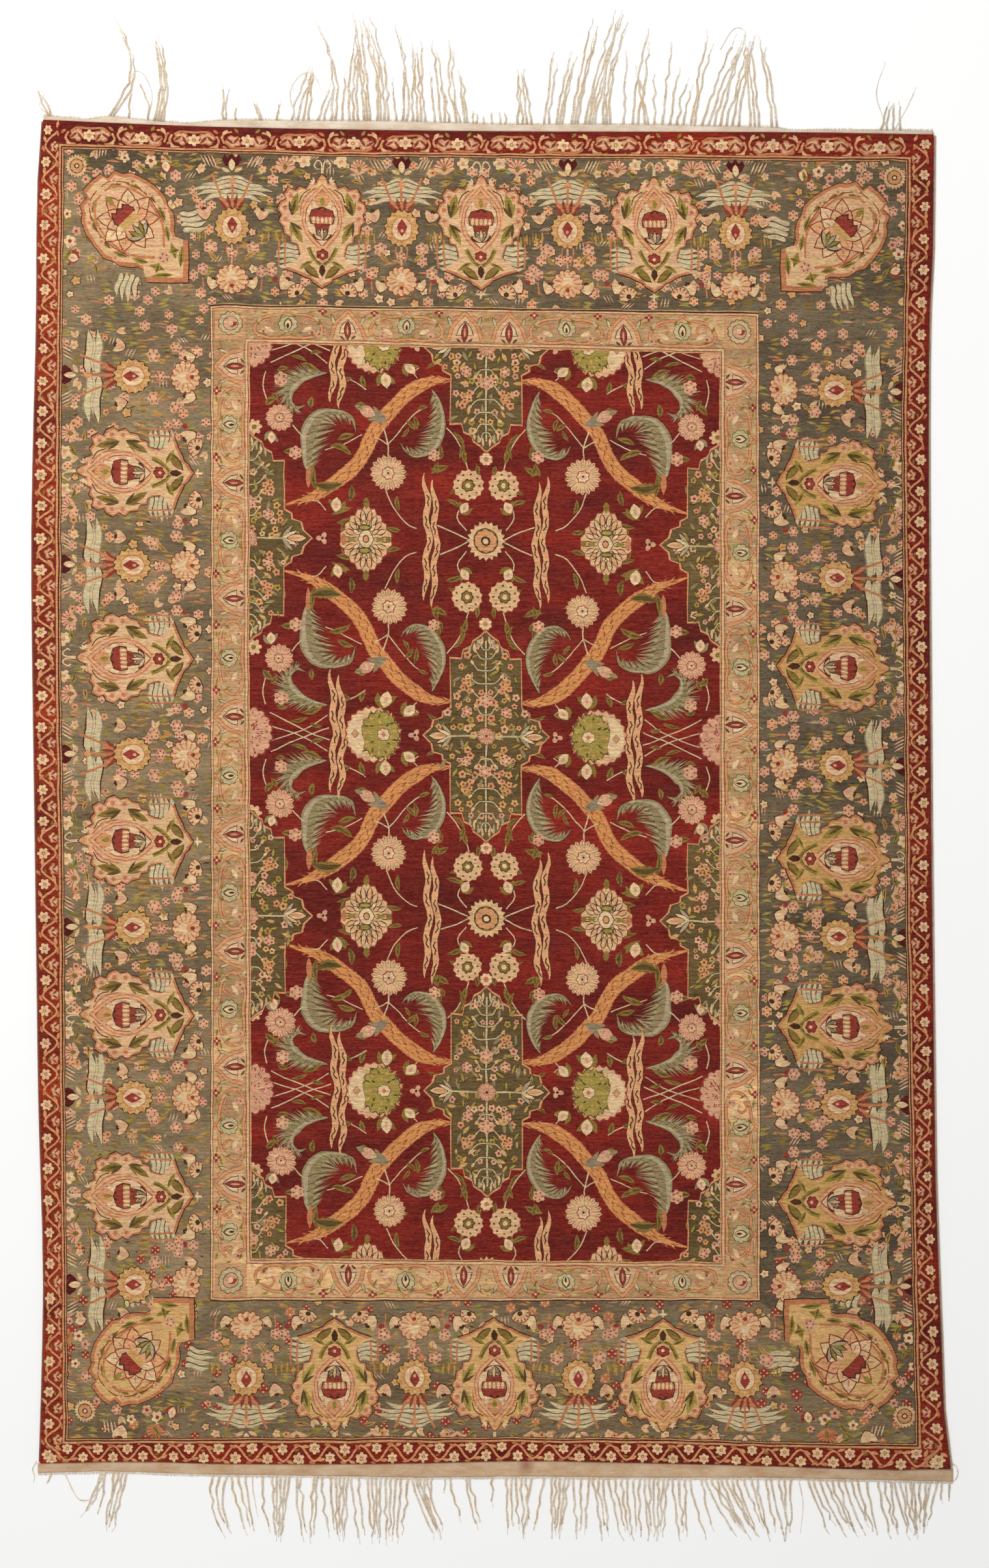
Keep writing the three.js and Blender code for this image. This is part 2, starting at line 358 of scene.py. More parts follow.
def floret(put, r, rim="cream", heart="coral", petals=5):
    lay(put, scallop(r, lobes=petals, depth=0.35), rim)
    lay(put, oval(0.32 * r, n=6), heart)


def dotted_rosette(put, r):
    """A cream flower with a ring of green dots."""
    lay(put, scallop(r + 0.8, lobes=14, depth=0.1, per=2), "brick")
    lay(put, scallop(r, lobes=14, depth=0.12, per=2), "cream")
    for k in range(9):
        lay(at(put, cmath.rect(0.7 * r, 2 * math.pi * k / 9 + 0.3)), oval(1.9, 1.6, 6), "moss")
    lay(put, scallop(0.44 * r, lobes=7, depth=0.2), "moss")
    lay(put, scallop(0.34 * r, lobes=7, depth=0.2), "olive")
    lay(put, oval(0.17 * r, n=6), "ivory")


def sunflower(put, r):
    lay(put, spikes(1.08 * r, 0.92 * r, 20), "umber")
    lay(put, spikes(1.04 * r, 0.86 * r, 20), "cream")
    lay(put, oval(0.66 * r, n=20), "moss")
    lay(put, scallop(0.6 * r, lobes=10, depth=0.1), "apricot")
    lay(put, oval(0.26 * r, n=8), "umber")
    lay(put, oval(0.16 * r, n=6), "ivory")


def bud(put, r, petal="ivory", sepal="olive"):
    """A closed bud that points along +y, with a sepal on each side."""
    lay(put, leaf(1.9 * r, 0.9 * r, 0.25 * r, 4) and [1j * z - 0.5j * r for z in leaf(1.9 * r, 1.7 * r)], "umber")
    for side in (-1, 1):
        sepal_leaf = leaf(1.9 * r, 0.75 * r, -0.2 * r)
        lay(at(put, complex(0, -0.5 * r), 90 + side * 34), sepal_leaf, sepal)
    lay(at(put, complex(0, -0.4 * r), 90), leaf(1.8 * r, 1.25 * r), petal)
    lay(at(put, complex(0, 0.1 * r), 90), leaf(0.8 * r, 0.4 * r), "rose")


def sprig(put, length, colour="olive", edge="sage"):
    """A serrated leaf along +x."""
    half_width = 0.16 * length

    def toothed(t):
        return half_width * math.sin(math.pi * min(t * 1.02, 1)) * (1.0 + 0.35 * (round(t * 10) % 2))

    path = spline([0, complex(length * 0.5, 0.1 * length), complex(length, 0)], 5)
    lay(put, ribbon(path, toothed), edge)
    lay(put, ribbon(path, lambda t: 0.55 * half_width * math.sin(math.pi * t) + 0.05), colour)


def trefoil(put, r, colour="rose"):
    for turn in (0, 120, 240):
        lay(at(put, 0, turn), oval(0.55 * r, 0.42 * r, 8, centre=0.55 * r), colour)
    lay(put, oval(0.25 * r, n=6), "umber")


def cloud_band(put, length, ribbon_width=11, gap=3.6, sway=2.6, waves=3.3, colour="tan", line="umber"):
    """Two waving ribbons side by side along y, dark edged, with dark dashes along their middles."""
    steps = 30
    for side in (-1, 1):
        path = []
        for k in range(steps + 1):
            t = k / steps
            x = side * (gap + ribbon_width) / 2 + sway * math.sin(2 * math.pi * waves * t + 0.9)
            x -= 2.4 * math.cos(math.pi * (2 * t - 1)) - 1.0
            path.append(complex(x, length * (t - 0.5 + 0.025 * side)))

        def half(t, more=0.0):
            ends = min(1, (6 * t) ** 0.8 + 0.1, (5 * (1 - t)) ** 0.8 + 0.1)
            flame = 0.55 * ((round(t * steps) % 3) == 0)
            return (0.5 * ribbon_width + more + flame) * ends

        lay(put, ribbon(path, lambda t: half(t, 1.2)), line)
        lay(put, ribbon(path, half), colour)
        for k in range(2, steps - 3, 5):
            curl = [p + side * (1.4 if n % 2 else -1.4) for n, p in enumerate(path[k : k + 4])]
            lay(put, ribbon(curl, 1.0), line)


def feathered(put, path, width, colour, line, teeth=1.0, strokes=True):
    """A band drawn to a point at both ends, with barbs along its edges and short dark strokes, as on a plume."""
    last = len(path) - 1
    sides = normals(path)

    def half(t, share=0.5):
        return share * width * min(1, 5 * t + 0.12, 5 * (1 - t) + 0.12)

    edge = "moss" if colour in ("olive", "fern") else "coral"
    lay(put, ribbon(path, lambda t: half(t, 0.58)), edge)
    for k in range(1, last - 1):
        ahead = path[k + 1] - path[k]
        ahead /= abs(ahead) or 1
        for side in (-1, 1):
            if (k + side) % 3 and teeth:
                root = path[k] + side * sides[k] * half(k / last, 0.4)
                tip = root + ahead * width * 0.5 + side * sides[k] * width * 0.27 * teeth
                lay(put, [root - ahead * width * 0.12, root + ahead * width * 0.2, tip], colour if k % 2 else edge)
    lay(put, ribbon(path, half), colour)
    if not strokes:
        return
    for k in range(1, last - 1):
        ahead = path[k + 1] - path[k]
        share = (-0.28, 0.06, 0.3)[k % 3]
        start = path[k] + sides[k] * width * share
        lay(put, ribbon([start, start + 1.1 * ahead + sides[k] * 0.1 * width], 0.6), line)
        start = path[k] + sides[k] * width * (share * -0.8 + 0.1)
        lay(put, ribbon([start, start + 0.8 * ahead - sides[k] * 0.08 * width], 0.5), line)


def sickle(put, points, width, tail=0.3, colour="sage", pale="ash", line="moss"):
    """A great curved leaf: smooth on its outer side, feathered with long hairs on the other, and
    drawn out to a curling tail. tail is the share of its length that is tail."""
    path = spline(points, 9)
    last = len(path) - 1
    sides = normals(path)

    def full(t):
        if t < 0.4:
            return 0.5 * width * (t / 0.4) ** 0.75
        if t < 1 - tail:
            return 0.5 * width * (1 - 0.62 * ((t - 0.4) / (0.6 - tail)) ** 1.6)
        return 0.5 * width * 0.38 * ((1 - t) / tail) ** 0.8

    lay(put, ribbon(path, lambda t: full(t) + 1.0, lambda t: 0.8 * full(t) + 0.8), "wine")
    lay(put, ribbon(path, full, lambda t: 0.7 * full(t)), colour)
    lay(put, ribbon(path[: int(0.8 * last)], lambda t: 0.8 * full(0.8 * t), lambda t: -0.35 * full(0.8 * t)), pale)
    for k in range(3, int(0.88 * last)):
        t = k / last
        ahead = path[min(k + 1, last)] - path[k - 1]
        ahead /= abs(ahead) or 1
        root = path[k] - sides[k] * 0.45 * full(t)
        barb = ahead * (6 + 0.4 * full(t)) - sides[k] * (4.0 + 1.35 * full(t)) * hand.uniform(0.7, 1.2)
        lay(put, [root - 1.6 * ahead, root + 1.6 * ahead, root + barb], (colour, pale, colour, line)[k % 4])
        start = path[k] + sides[k] * full(t) * hand.uniform(0.2, 0.6)
        if k % 4 == 0:
            lay(put, ribbon([start, start + 0.7 * barb], 0.5), line)


def pomegranate(put):
    """The round fruit palmette beside a medallion, its white half moon outwards along +x."""
    lay(put, scallop(44.5, lobes=22, depth=0.05, per=2), "brick")
    lay(put, scallop(43.5, lobes=22, depth=0.09, per=2), "pink")
    lay(put, oval(39, n=26), "cream")
    lay(put, [z - 11 for z in scallop(31, 39, lobes=15, depth=0.1)], "moss")
    lay(put, [z - 11 for z in scallop(29.5, 37.5, lobes=15, depth=0.12)], "lime")
    for ring, count in ((33, 17), (24, 13), (15, 8)):
        for n in range(count):
            spot = -11 + cmath.rect(ring, 2 * math.pi * n / count)
            spot = complex(-11 + (spot.real + 11) * 0.8, spot.imag)
            turn = 360 * n / count + hand.uniform(-25, 25)
            lay(at(put, spot, turn), leaf(9, 3.2, 0, 2), "moss" if n % 2 else "gold_yarn")
    lay(put, [z - 16 for z in scallop(11, 10, lobes=7, depth=0.16)], "umber")
    lay(put, [z - 16 for z in scallop(10, 9, lobes=7, depth=0.16)], "ivory")
    lay(put, [z - 16 for z in (-4, -4j, 4, 4j)], "coral")
    moon = [cmath.rect(39, a) for a in np.linspace(-0.98, 0.98, 14)]
    moon += [complex(12 + 5 * abs(math.sin(3.5 * n)), 31 - 62 * n / 12) for n in range(13)]
    lay(put, moon, "umber")
    lay(put, [z * 0.985 + 0.6 for z in moon], "ivory")
    lay(put, [z + 27 for z in (-6.5, -7.5j, 6.5, 7.5j)], "smoke")
    lay(put, [z + 27 for z in (-5, -6j, 5, 6j)], "apricot")


def palmette(put):
    """The pointed palmette beside a sunflower: rings of petals round a green heart."""
    a, b = 39, 50
    pointed = []
    for k in range(36):
        angle = 2 * math.pi * k / 36
        c, s = math.cos(angle), math.sin(angle)
        reach = 1 / (abs(c) ** 1.35 + abs(s) ** 1.35) ** (1 / 1.35)
        pointed.append(complex(a * c, b * s) * reach * (1.07 if k % 2 else 0.97))
    lay(put, [z * 1.05 for z in pointed], "brick")
    lay(put, pointed, "cream")
    for share, count, width, petal in ((0.5, 18, 10, "peach"), (0.3, 14, 8, "ivory")):
        for n in range(count):
            z = pointed[round(36 * n / count) % 36]
            turn = math.degrees(cmath.phase(z))
            lay(at(put, share * z, turn), leaf((0.52 if share > 0.4 else 0.34) * abs(z), width, 0, 3), "umber")
            inner = leaf((0.48 if share > 0.4 else 0.3) * abs(z), 0.66 * width, 0, 3)
            lay(at(put, (share + 0.02) * z, turn), inner, petal if n % 2 else "cream")
    lay(put, [z * 0.34 for z in pointed[::2]], "umber")
    lay(put, [z * 0.31 for z in pointed[::2]], "ivory")
    for side in (-1, 1):
        lay(at(put, complex(2, side * 17)), scallop(12, 6, lobes=7, depth=0.2, per=2), "moss")
        lay(at(put, complex(2, side * 17)), scallop(8.5, 3.6, lobes=5, depth=0.2, per=2), "lime")
        lay(at(put, complex(0, side * 46), 90 * side), leaf(18, 10, 0, 4), "olive")
        lay(at(put, complex(side * 15, 0), 90 - side * 90), leaf(15, 7, 0, 4), "fern")
    lay(put, oval(5.5, 6.5, 8), "umber")
    lay(put, oval(4, 5, 8), "apricot")
    lay(at(put, 34), oval(4, 10, 8), "coral")
    lay(at(put, -35), oval(4.5, 5, 8), "olive")


def clasp(put):
    """The flower bud that holds a gold band at its middle, pointing along +y."""
    lay(at(put, -14j, 90), leaf(34, 17, n=6), "smoke")
    lay(at(put, 8j, 90), leaf(30, 19, n=6), "rose")
    for x, y in ((-3, 14), (3, 16), (0, 22), (-4, 22), (4, 24), (0, 10)):
        lay(at(put, complex(x, y)), oval(1.5, 1.3, 5), "ivory")
    lay(at(put, 30j, 90), leaf(15, 8), "sage")
    for side in (-1, 1):
        lay(at(put, complex(side * 4, 2), 90 + side * -28), leaf(17, 6), "sage")


BAR = 53
TIP_CUSPS = ((54, 0), (37, -1), (34, 12), (23, 17), (20, 27), (9, 34), (0, 43))
ARM_CUSPS = ((53, 42), (64, 36), (65, 28), (79, 24), (82, 12), (95, 0))
BAR_TOP = 117


def medallion_outline(grow=0.0):
    """A cross-shaped cartouche: a bar with cusped tips and two cusped arms."""
    quarter = [complex(x, y) for x, y in reversed(ARM_CUSPS)]
    quarter += [complex(x, BAR_TOP + y) for x, y in TIP_CUSPS]
    upper = quarter[:-1] + [quarter[-1]] + [complex(-z.real, z.imag) for z in quarter[-2::-1]]
    whole = upper + [z.conjugate() for z in upper[-2:0:-1]]
    return [z * (1 + grow / max(abs(z), 1)) for z in whole]


def medallion(put):
    """The cross-shaped cartouche: a grey-green garden with a pale tree up and down its middle."""
    lay(put, medallion_outline(4.2), "brick")
    lay(put, medallion_outline(3.4), "apricot")
    lay(put, medallion_outline(0.4), "umber")
    lay(put, medallion_outline(-0.6), "slate", 0.6)
    spots = []
    tries = 0
    while len(spots) < 76 and tries < 4000:
        tries += 1
        spot = complex(hand.uniform(5, 86), hand.uniform(-146, 146))
        x, y = spot.real, abs(spot.imag)
        inside = (x < 47 and y < 112) or (x < 82 - 0.6 * y and y < 38) or (y > 108 and x < 1.1 * (152 - y))
        if inside and all(abs(spot - other) > 9.4 for other in spots):
            spots.append(spot)
    for spot in spots:
        kind = hand.random()
        size = hand.uniform(4.4, 7.4)
        rim = hand.choice(("apricot", "cream", "lime", "rose", "gold_yarn", "tan"))
        turn = hand.uniform(0, 180)
        for side in (-1, 1):
            here = at(put, complex(side * spot.real, spot.imag) + complex(hand.uniform(-0.8, 0.8), 0), side * turn)
            if kind < 0.46:
                lay(here, scallop(size + 0.9, lobes=5, depth=0.3, per=2), "umber")
                lay(here, scallop(size, lobes=5, depth=0.3, per=2), rim)
                lay(here, oval(0.35 * size, n=5), "brick")
            elif kind < 0.7:
                lay(here, leaf(2.8 * size, size, 0, 3), "umber")
                lay(here, leaf(2.4 * size, 0.7 * size, 0, 3), "lime")
            elif kind < 0.86:
                lay(here, leaf(2.6 * size, 0.8 * size, 0, 3), "sage")
            else:
                lay(here, leaf(2.4 * size, 0.9 * size, 0, 3), "gold_yarn")
    for way in (1, -1):
        half_put = at(put, 0) if way == 1 else (lambda z: put(z.conjugate()))
        lay(half_put, ribbon([0, 70j, 146j], 2.6), "umber")
        lay(half_put, ribbon([0, 70j, 146j], 1.5), "mint")
        for height, reach in ((34, 13), (58, 18), (80, 22), (100, 18), (118, 14), (132, 8)):
            for side in (-1, 1):
                tip = complex(side * reach, height + 9)
                path = [1j * height, complex(side * reach * 0.6, height + 1), tip]
                stem(half_put, path, 3.4, "umber", 2)
                stem(half_put, path, 2.0, "mint", 2)
                lay(at(half_put, tip, 90 - side * 40), leaf(9, 4.6), "cream")
        for side in (-1, 1):
            for n in range(4):
                foot = complex(side * (6 + 6.5 * n), 124 + 5 * (3 - n))
                lay(at(half_put, foot, 90 + side * 4), leaf(15, 3.6), "ash" if n % 2 else "cream")
            blossom(loosely(half_put, complex(side * 30, 38)), 9)
            for x, y in ((26, 80), (35, 74), (33, 84), (25, 70)):
                floret(at(half_put, complex(side * x, y)), 5.6, "apricot", "brick", 5)
        blossom(loosely(half_put, 54j), 12)
    for side in (-1, 1):
        turn = 0 if side == 1 else 180
        for fan_turn in (-50, -25, 25, 50):
            lay(at(put, side * 52, turn + fan_turn), leaf(27, 8), "umber")
            lay(at(put, side * 52, turn + fan_turn), leaf(25, 5.5), "ash" if abs(fan_turn) > 30 else "ivory")
        lay(at(put, side * 60, turn), leaf(30, 14), "umber")
        lay(at(put, side * 61, turn), leaf(27, 11), "cream")
        lay(at(put, side * 62, turn), leaf(20, 5), "apricot")
        stem(put, [0, side * 30, side * 60], 2.4, "mint", 2)
    rosette(put, 14, 10, "rose", "madder", "cream")


def blossom(put, r=10):
    """A small pink flower with a pale rim and a red heart."""
    lay(put, scallop(r, lobes=6, depth=0.25), "rose")
    for k in range(5):
        lay(at(put, cmath.rect(0.55 * r, 1.26 * k)), oval(1.7, 1.4, 5), "madder")
    lay(put, oval(0.3 * r, n=6), "cream")


def small_leaf(put, x, y, turn, length=15, width=6, colour="olive", vein="moss"):
    """A little green leaf with a dark vein."""
    spot = loosely(put, complex(x, y), turn, 1.3)
    lay(spot, leaf(length, width, 0.08 * length, 4), colour)
    lay(spot, leaf(0.86 * length, 0.36 * width, 0.08 * length, 2), vein)


QUARTER_LEAVES = (
    # x, y, turn, length, width: little leaves in the quarter beside a medallion, up to a rosette
    (120, 197, 0, 19, 7),
    (313, 165, 175, 18, 8),
    (267, 100, -95, 14, 7),
    (260, 226, -85, 30, 7),
    (201, 95, 175, 16, 9),
    (186, 66, -70, 15, 7),
    (134, 255, -80, 20, 6),
    (130, 284, -10, 18, 6),
    (58, 184, 15, 22, 8),
    (74, 178, 60, 16, 7),
    (78, 183, 110, 12, 6),
    (62, 236, 160, 22, 6),
    (57, 226, 200, 16, 5),
    (72, 150, 80, 20, 6),
    (66, 160, 60, 14, 5),
    (40, 152, 110, 22, 7),
    (34, 146, 75, 20, 5),
    (50, 132, 130, 20, 5),
    (110, 108, 100, 18, 6),
    (124, 116, 140, 16, 6),
    (104, 100, 200, 14, 5),
    (118, 126, 60, 15, 5),
    (230, 274, 175, 34, 9),
    (236, 262, 200, 24, 7),
    (215, 270, 70, 14, 6),
    (240, 155, 165, 24, 8),
    (228, 146, 200, 22, 7),
    (224, 158, 150, 16, 6),
    (285, 31, 160, 26, 7),
    (206, 52, 10, 20, 7),
    (340, 96, 220, 16, 8),
    (322, 42, 190, 14, 6),
    (330, 74, 120, 14, 6),
    (176, 34, 60, 10, 4),
    (312, 200, 95, 18, 5),
    (92, 34, 200, 20, 5),
    (14, 180, 90, 16, 6),
    (300, 18, 165, 22, 5),
    (270, 16, 190, 16, 5),
)


def quarter_cell(put, rise):
    """A quarter of the field's repeat, from a medallion at 0 to a rosette at rise along y.
    rise is the distance between the two rows."""
    k = rise / 298

    def down(*points):
        return [complex(x, y * k) for x, y in points]

    band_path = spline(
        down(
            (49, 52), (74, 52), (97, 59), (116, 71), (137, 90), (154, 110), (170, 130), (179, 148),
            (188, 168), (202, 187), (220, 203), (248, 224), (272, 237), (308, 248),
        ),
        3,
    )  # fmt: skip
    feathered(put, band_path, 19, "band", "brick")
    # sickle leaves
    sickle(put, down((83, 66), (75, 88), (71, 112), (76, 136), (88, 158), (106, 167), (121, 162), (131, 149)), 24, 0.34)
    sickle(put, down((271, 200), (272, 186), (271, 160), (266, 132), (252, 111), (228, 106), (207, 113), (199, 136)), 34, 0.34)
    lay(at(put, complex(272, 186 * k), 90), leaf(36, 9), "coral")
    sickle(put, down((243, 44), (268, 46), (290, 54), (304, 70), (303, 88), (291, 99), (276, 94)), 26, 0.3)
    # stems
    for points, width in (
        (((150, 170), (150, 152), (157, 128)), 2.6),
        (((150, 153), (160, 146), (170, 141)), 2.2),
        (((150, 152), (138, 138), (124, 120), (108, 104), (96, 97)), 2.2),
        (((185, 69), (198, 60), (216, 51)), 2.2),
        (((154, 222), (143, 248), (123, 272), (106, 280)), 2.2),
        (((27, 190), (33, 168), (46, 142), (60, 125)), 2.2),
        (((245, 256), (257, 242), (266, 240)), 2.2),
        (((297, 125), (288, 136), (281, 142)), 2.2),
        (((332, 94), (337, 84), (342, 64), (338, 44)), 2.2),
        (((331, 31), (300, 15), (271, 2), (240, -10)), 2.2),
        (((243, 29), (271, 10), (300, -2), (331, -12)), 2.0),
        (((190, 138), (206, 146), (226, 156), (246, 162)), 2.0),
        (((104, 34), (112, 42), (106, 50)), 1.8),
        (((24, 298), (52, 284), (78, 274)), 2.4),
        (((30, 282), (44, 262), (36, 240)), 2.2),
    ):
        path = down(*points)
        stem(put, path, 0.8 * width, "cloud", 3)
    for x, y, turn, length, width in QUARTER_LEAVES:
        small_leaf(put, x, y * k, turn, length, width)
    sprig(loosely(put, complex(220, 213 * k), -4), 46, "moss", "olive")
    sprig(loosely(put, complex(206, 216 * k), 84), 26, "moss", "olive")
    # the clasp of the band, a tulip that leans out of it
    clasp(at(put, complex(163, 112 * k), -116, 0.95))
    # flowers
    rosette(loosely(put, complex(149, 195 * k)), 27, 18, "cream", "tan", "ivory")
    dotted_rosette(loosely(put, complex(28, 213 * k)), 23.5)
    rosette(loosely(put, complex(316, 115 * k)), 23, 14, "pink", "cream", "rose")
    blossom(loosely(put, complex(80, 168 * k)), 10)
    blossom(loosely(put, complex(292, 166 * k)), 11)
    blossom(loosely(put, complex(314, 54 * k)), 11.5)
    bud(loosely(put, complex(328, 140 * k), -8), 10, "ivory", "sage")
    bud(loosely(put, complex(230, 254 * k), 170), 13, "ivory", "olive")
    bud(loosely(put, complex(36, 252 * k), 150), 11, "ivory", "olive")
    bud(loosely(put, complex(155, 48 * k), 8), 14, "ivory", "olive")
    bud(loosely(put, complex(122, 32 * k), 48), 12, "ivory", "olive")
    floret(loosely(put, complex(356, 131 * k)), 13, "cream", "olive", 7)


ROWS = (
    # y of the row, whether a medallion stands on the middle line
    (987, False),
    (689, True),
    (391, False),
    (92, True),
    (-187, False),
    (-453, True),
    (-736, False),
)


def sheet_put(z):
    return z


def field_chart():
    """The silk field: a half-drop repeat of medallions, bands, sickle leaves and flowers."""
    middle = -2
    for (y, whole), (next_y, _) in zip(ROWS, ROWS[1:]):
        start, end = (y, next_y) if whole else (next_y, y)
        for side in (-1, 1):

            def put(z, side=side, start=start, way=1 if end > start else -1):
                return complex(middle + side * z.real, start + way * z.imag)

            quarter_cell(put, abs(end - start))
    for y, whole in ROWS:
        row = at(sheet_put, complex(middle, y))
        for side in (-1, 1):
            side_row = at(row, 0, 0, 1, flip=side < 0)
            if whole:
                cloud_band(at(side_row, 227), 188, 9.4, colour="peach")
                pomegranate(at(side_row, 173))
                trefoil(at(side_row, 109), 9)
                lay(at(side_row, 361), scallop(36, 41, lobes=16, depth=0.1), "brick")
                lay(at(side_row, 361), scallop(34, 39, lobes=16, depth=0.12), "rose")
                for _ in range(46):
                    spot = cmath.rect(hand.uniform(4, 35), hand.uniform(math.pi / 2, 1.5 * math.pi))
                    lay(at(side_row, 361 + spot, math.degrees(cmath.phase(spot))), leaf(5.5, 1.7, 0, 3), "madder")
            else:
                cloud_band(at(side_row, 84), 195, 8.8, colour="peach")
                palmette(at(side_row, 184))
                trefoil(at(side_row, 251), 9)
                medallion(at(side_row, 364))
        if whole:
            medallion(row)
            for end in (-1, 1):
                bud_at = at(row, complex(0, end * 172))
                lay(bud_at, oval(11, n=12), "brick")
                lay(bud_at, scallop(10, lobes=8, depth=0.2), "ivory")
                lay(bud_at, oval(4, n=8), "coral")
                stem(row, [complex(0, end * 158), complex(0, end * 163)], 2, "coral", 1)
        else:
            sunflower(row, 29)


def scatter(count, inside, spots, tried=24):
    """Fills the free room with small things, each clear of the last."""
    taken = []
    for _ in range(count * tried):
        z = complex(hand.uniform(*inside[0]), hand.uniform(*inside[1]))
        if all(abs(z - other) > gap for other, gap in taken):
            kind, gap = hand.choice(spots)
            kind(at(sheet_put, z, hand.uniform(0, 360)))
            taken.append((z, gap))
            if len(taken) == count:
                return


def area(shape):
    return 0.5 * sum((a.conjugate() * b).imag for a, b in zip(shape, shape[1:] + shape[:1]))


def box_of(x0, y0, x1, y1, step=22):
    """A rectangle with points along its sides, so that it can follow the cloth's drawn edges."""
    corners = [complex(x0, y0), complex(x1, y0), complex(x1, y1), complex(x0, y1)]
    made = []
    for a, b in zip(corners, corners[1:] + corners[:1]):
        n = max(1, round(abs(b - a) / step))
        made += [a + (b - a) * k / n for k in range(n)]
    return made


RIM_STEPS = ((0.625, 0.0003), (1.125, 0.0008), (1.375, 0.0017), (1.375, 0.0042))


def inlay(name, ground, region, hole=None, grid=30, keep=False, rim=False):
    """Makes the chart's shapes one mesh of coloured patches, cut to the region, at the top of the pile.
    keep leaves the chart for another part of the same border. A rim is clipped round and rolls down."""
    shapes = [(region, ground, 1.0)] + chart
    if hole:
        shapes.append((hole, None, 0))
    points = []
    patches = []
    used = []
    reach = (min(z.real for z in region), max(z.real for z in region))
    rise = (min(z.imag for z in region), max(z.imag for z in region))
    for shape, colour, drift in shapes:
        if area(shape) < 0:
            shape = shape[::-1]
        xs, ys = [z.real for z in shape], [z.imag for z in shape]
        if area(shape) < 0.6 or max(xs) < reach[0] or min(xs) > reach[1] or max(ys) < rise[0] or min(ys) > rise[1]:
            continue
        patches.append(list(range(len(points), len(points) + len(shape))))
        points += [Vector((round(z.real * 8) / 8, round(z.imag * 8) / 8)) for z in shape]
        used.append((colour, drift))
    xs = [z.real for z in region]
    ys = [z.imag for z in region]
    for gx in np.arange(min(xs) + grid / 2, max(xs), grid):
        for gy in np.arange(min(ys) + grid / 2, max(ys), grid):
            points.append(Vector((gx, gy)))
    corners, _, faces, _, _, origins = delaunay_2d_cdt(points, [], patches, 0, 1e-3, True)
    dyes = {colour: dye(colour) for colour, _ in used if colour}
    kept = []
    tints = []
    for face, origin in zip(faces, origins):
        if 0 not in origin:
            continue
        colour, drift = used[max(origin)]
        if colour is None:
            continue
        kept.append(face)
        tints.append((*dyes[colour], drift))
    charted = np.array([complex(v.x, v.y) for v in corners])
    heights = np.full(len(charted), PILE_TOP)
    if rim:
        charted, heights = rolled_rim(charted, kept, tints, (min(xs), min(ys), max(xs), max(ys)))
    flat = laid_out(charted)
    mesh = bpy.data.meshes.new(name)
    mesh.from_pydata([(x, y, z) for (x, y), z in zip(flat, heights)], [], kept)
    paint = mesh.color_attributes.new("dye", "BYTE_COLOR", "CORNER")
    sizes = [len(face) for face in kept]
    paint.data.foreach_set("color_srgb", np.repeat(np.array(tints, np.float32), sizes, axis=0).ravel())
    made = bpy.data.objects.new(name, mesh)
    scene.collection.objects.link(made)
    remove_loose(mesh)
    plan_uv(mesh)
    if not keep:
        back_chart.extend(chart)
        chart.clear()
    return made


def rolled_rim(charted, faces, tints, box):
    """The strips of the clipped rim, out and down from a box's outline, in the colours that reach it.
    It gives the heights of all points too, and adds to the faces and tints."""
    x0, y0, x1, y1 = box
    sides = [abs(charted.real - x0) < 0.01, abs(charted.real - x1) < 0.01]
    sides += [abs(charted.imag - y0) < 0.01, abs(charted.imag - y1) < 0.01]
    rim = []
    for face, tint in zip(list(faces), list(tints)):
        for a, b in zip(face, face[1:] + face[:1]):
            if any(side[a] and side[b] for side in sides):
                rim.append((a, b, tint))
    ring = sorted({v for a, b, _ in rim for v in (a, b)})
    points = [charted]
    heights = [np.full(len(charted), PILE_TOP)]
    before = {v: v for v in ring}
    for out, drop in RIM_STEPS:
        outward = np.array([complex(charted[v].real, charted[v].imag) for v in ring])
        for side, way in zip(sides, (-1, 1, -1j, 1j)):
            outward += np.array([out * way if side[v] else 0 for v in ring])
        first = sum(len(part) for part in points)
        after = {v: first + k for k, v in enumerate(ring)}
        points.append(outward)
        heights.append(np.full(len(ring), PILE_TOP - drop))
        for a, b, tint in rim:
            faces.append((before[b], before[a], after[a], after[b]))
            tints.append(tint)
        before = after
    return np.concatenate(points), np.concatenate(heights)


def remove_loose(mesh):
    """Drops the points that no patch uses."""
    whole = bmesh.new()
    whole.from_mesh(mesh)
    loose = [v for v in whole.verts if not v.link_faces]
    bmesh.ops.delete(whole, geom=loose, context="VERTS")
    whole.to_mesh(mesh)
    whole.free()


def plan_uv(mesh, name="OFBake"):
    """A flat map of a mesh, seen from above, for whatever is painted on it later."""
    co = np.zeros(len(mesh.vertices) * 3, np.float32)
    mesh.vertices.foreach_get("co", co)
    co = co.reshape(-1, 3)[:, :2]
    low, high = co.min(0), co.max(0)
    uv = 0.004 + 0.992 * (co - low) / (high - low)
    loops = np.zeros(len(mesh.loops), np.int32)
    mesh.loops.foreach_get("vertex_index", loops)
    layer = mesh.uv_layers.new(name=name)
    layer.data.foreach_set("uv", uv[loops].ravel())


def add(tree, kind, links=(), **settings):
    """One shader node, with its settings, and its sockets fed by other sockets or by values."""
    made = tree.nodes.new("ShaderNode" + kind)
    for key_name, value in settings.items():
        setattr(made, key_name, value)
    for socket, source in dict(links).items():
        if isinstance(source, bpy.types.NodeSocket):
            tree.links.new(source, made.inputs[socket])
        else:
            made.inputs[socket].default_value = source
    return made


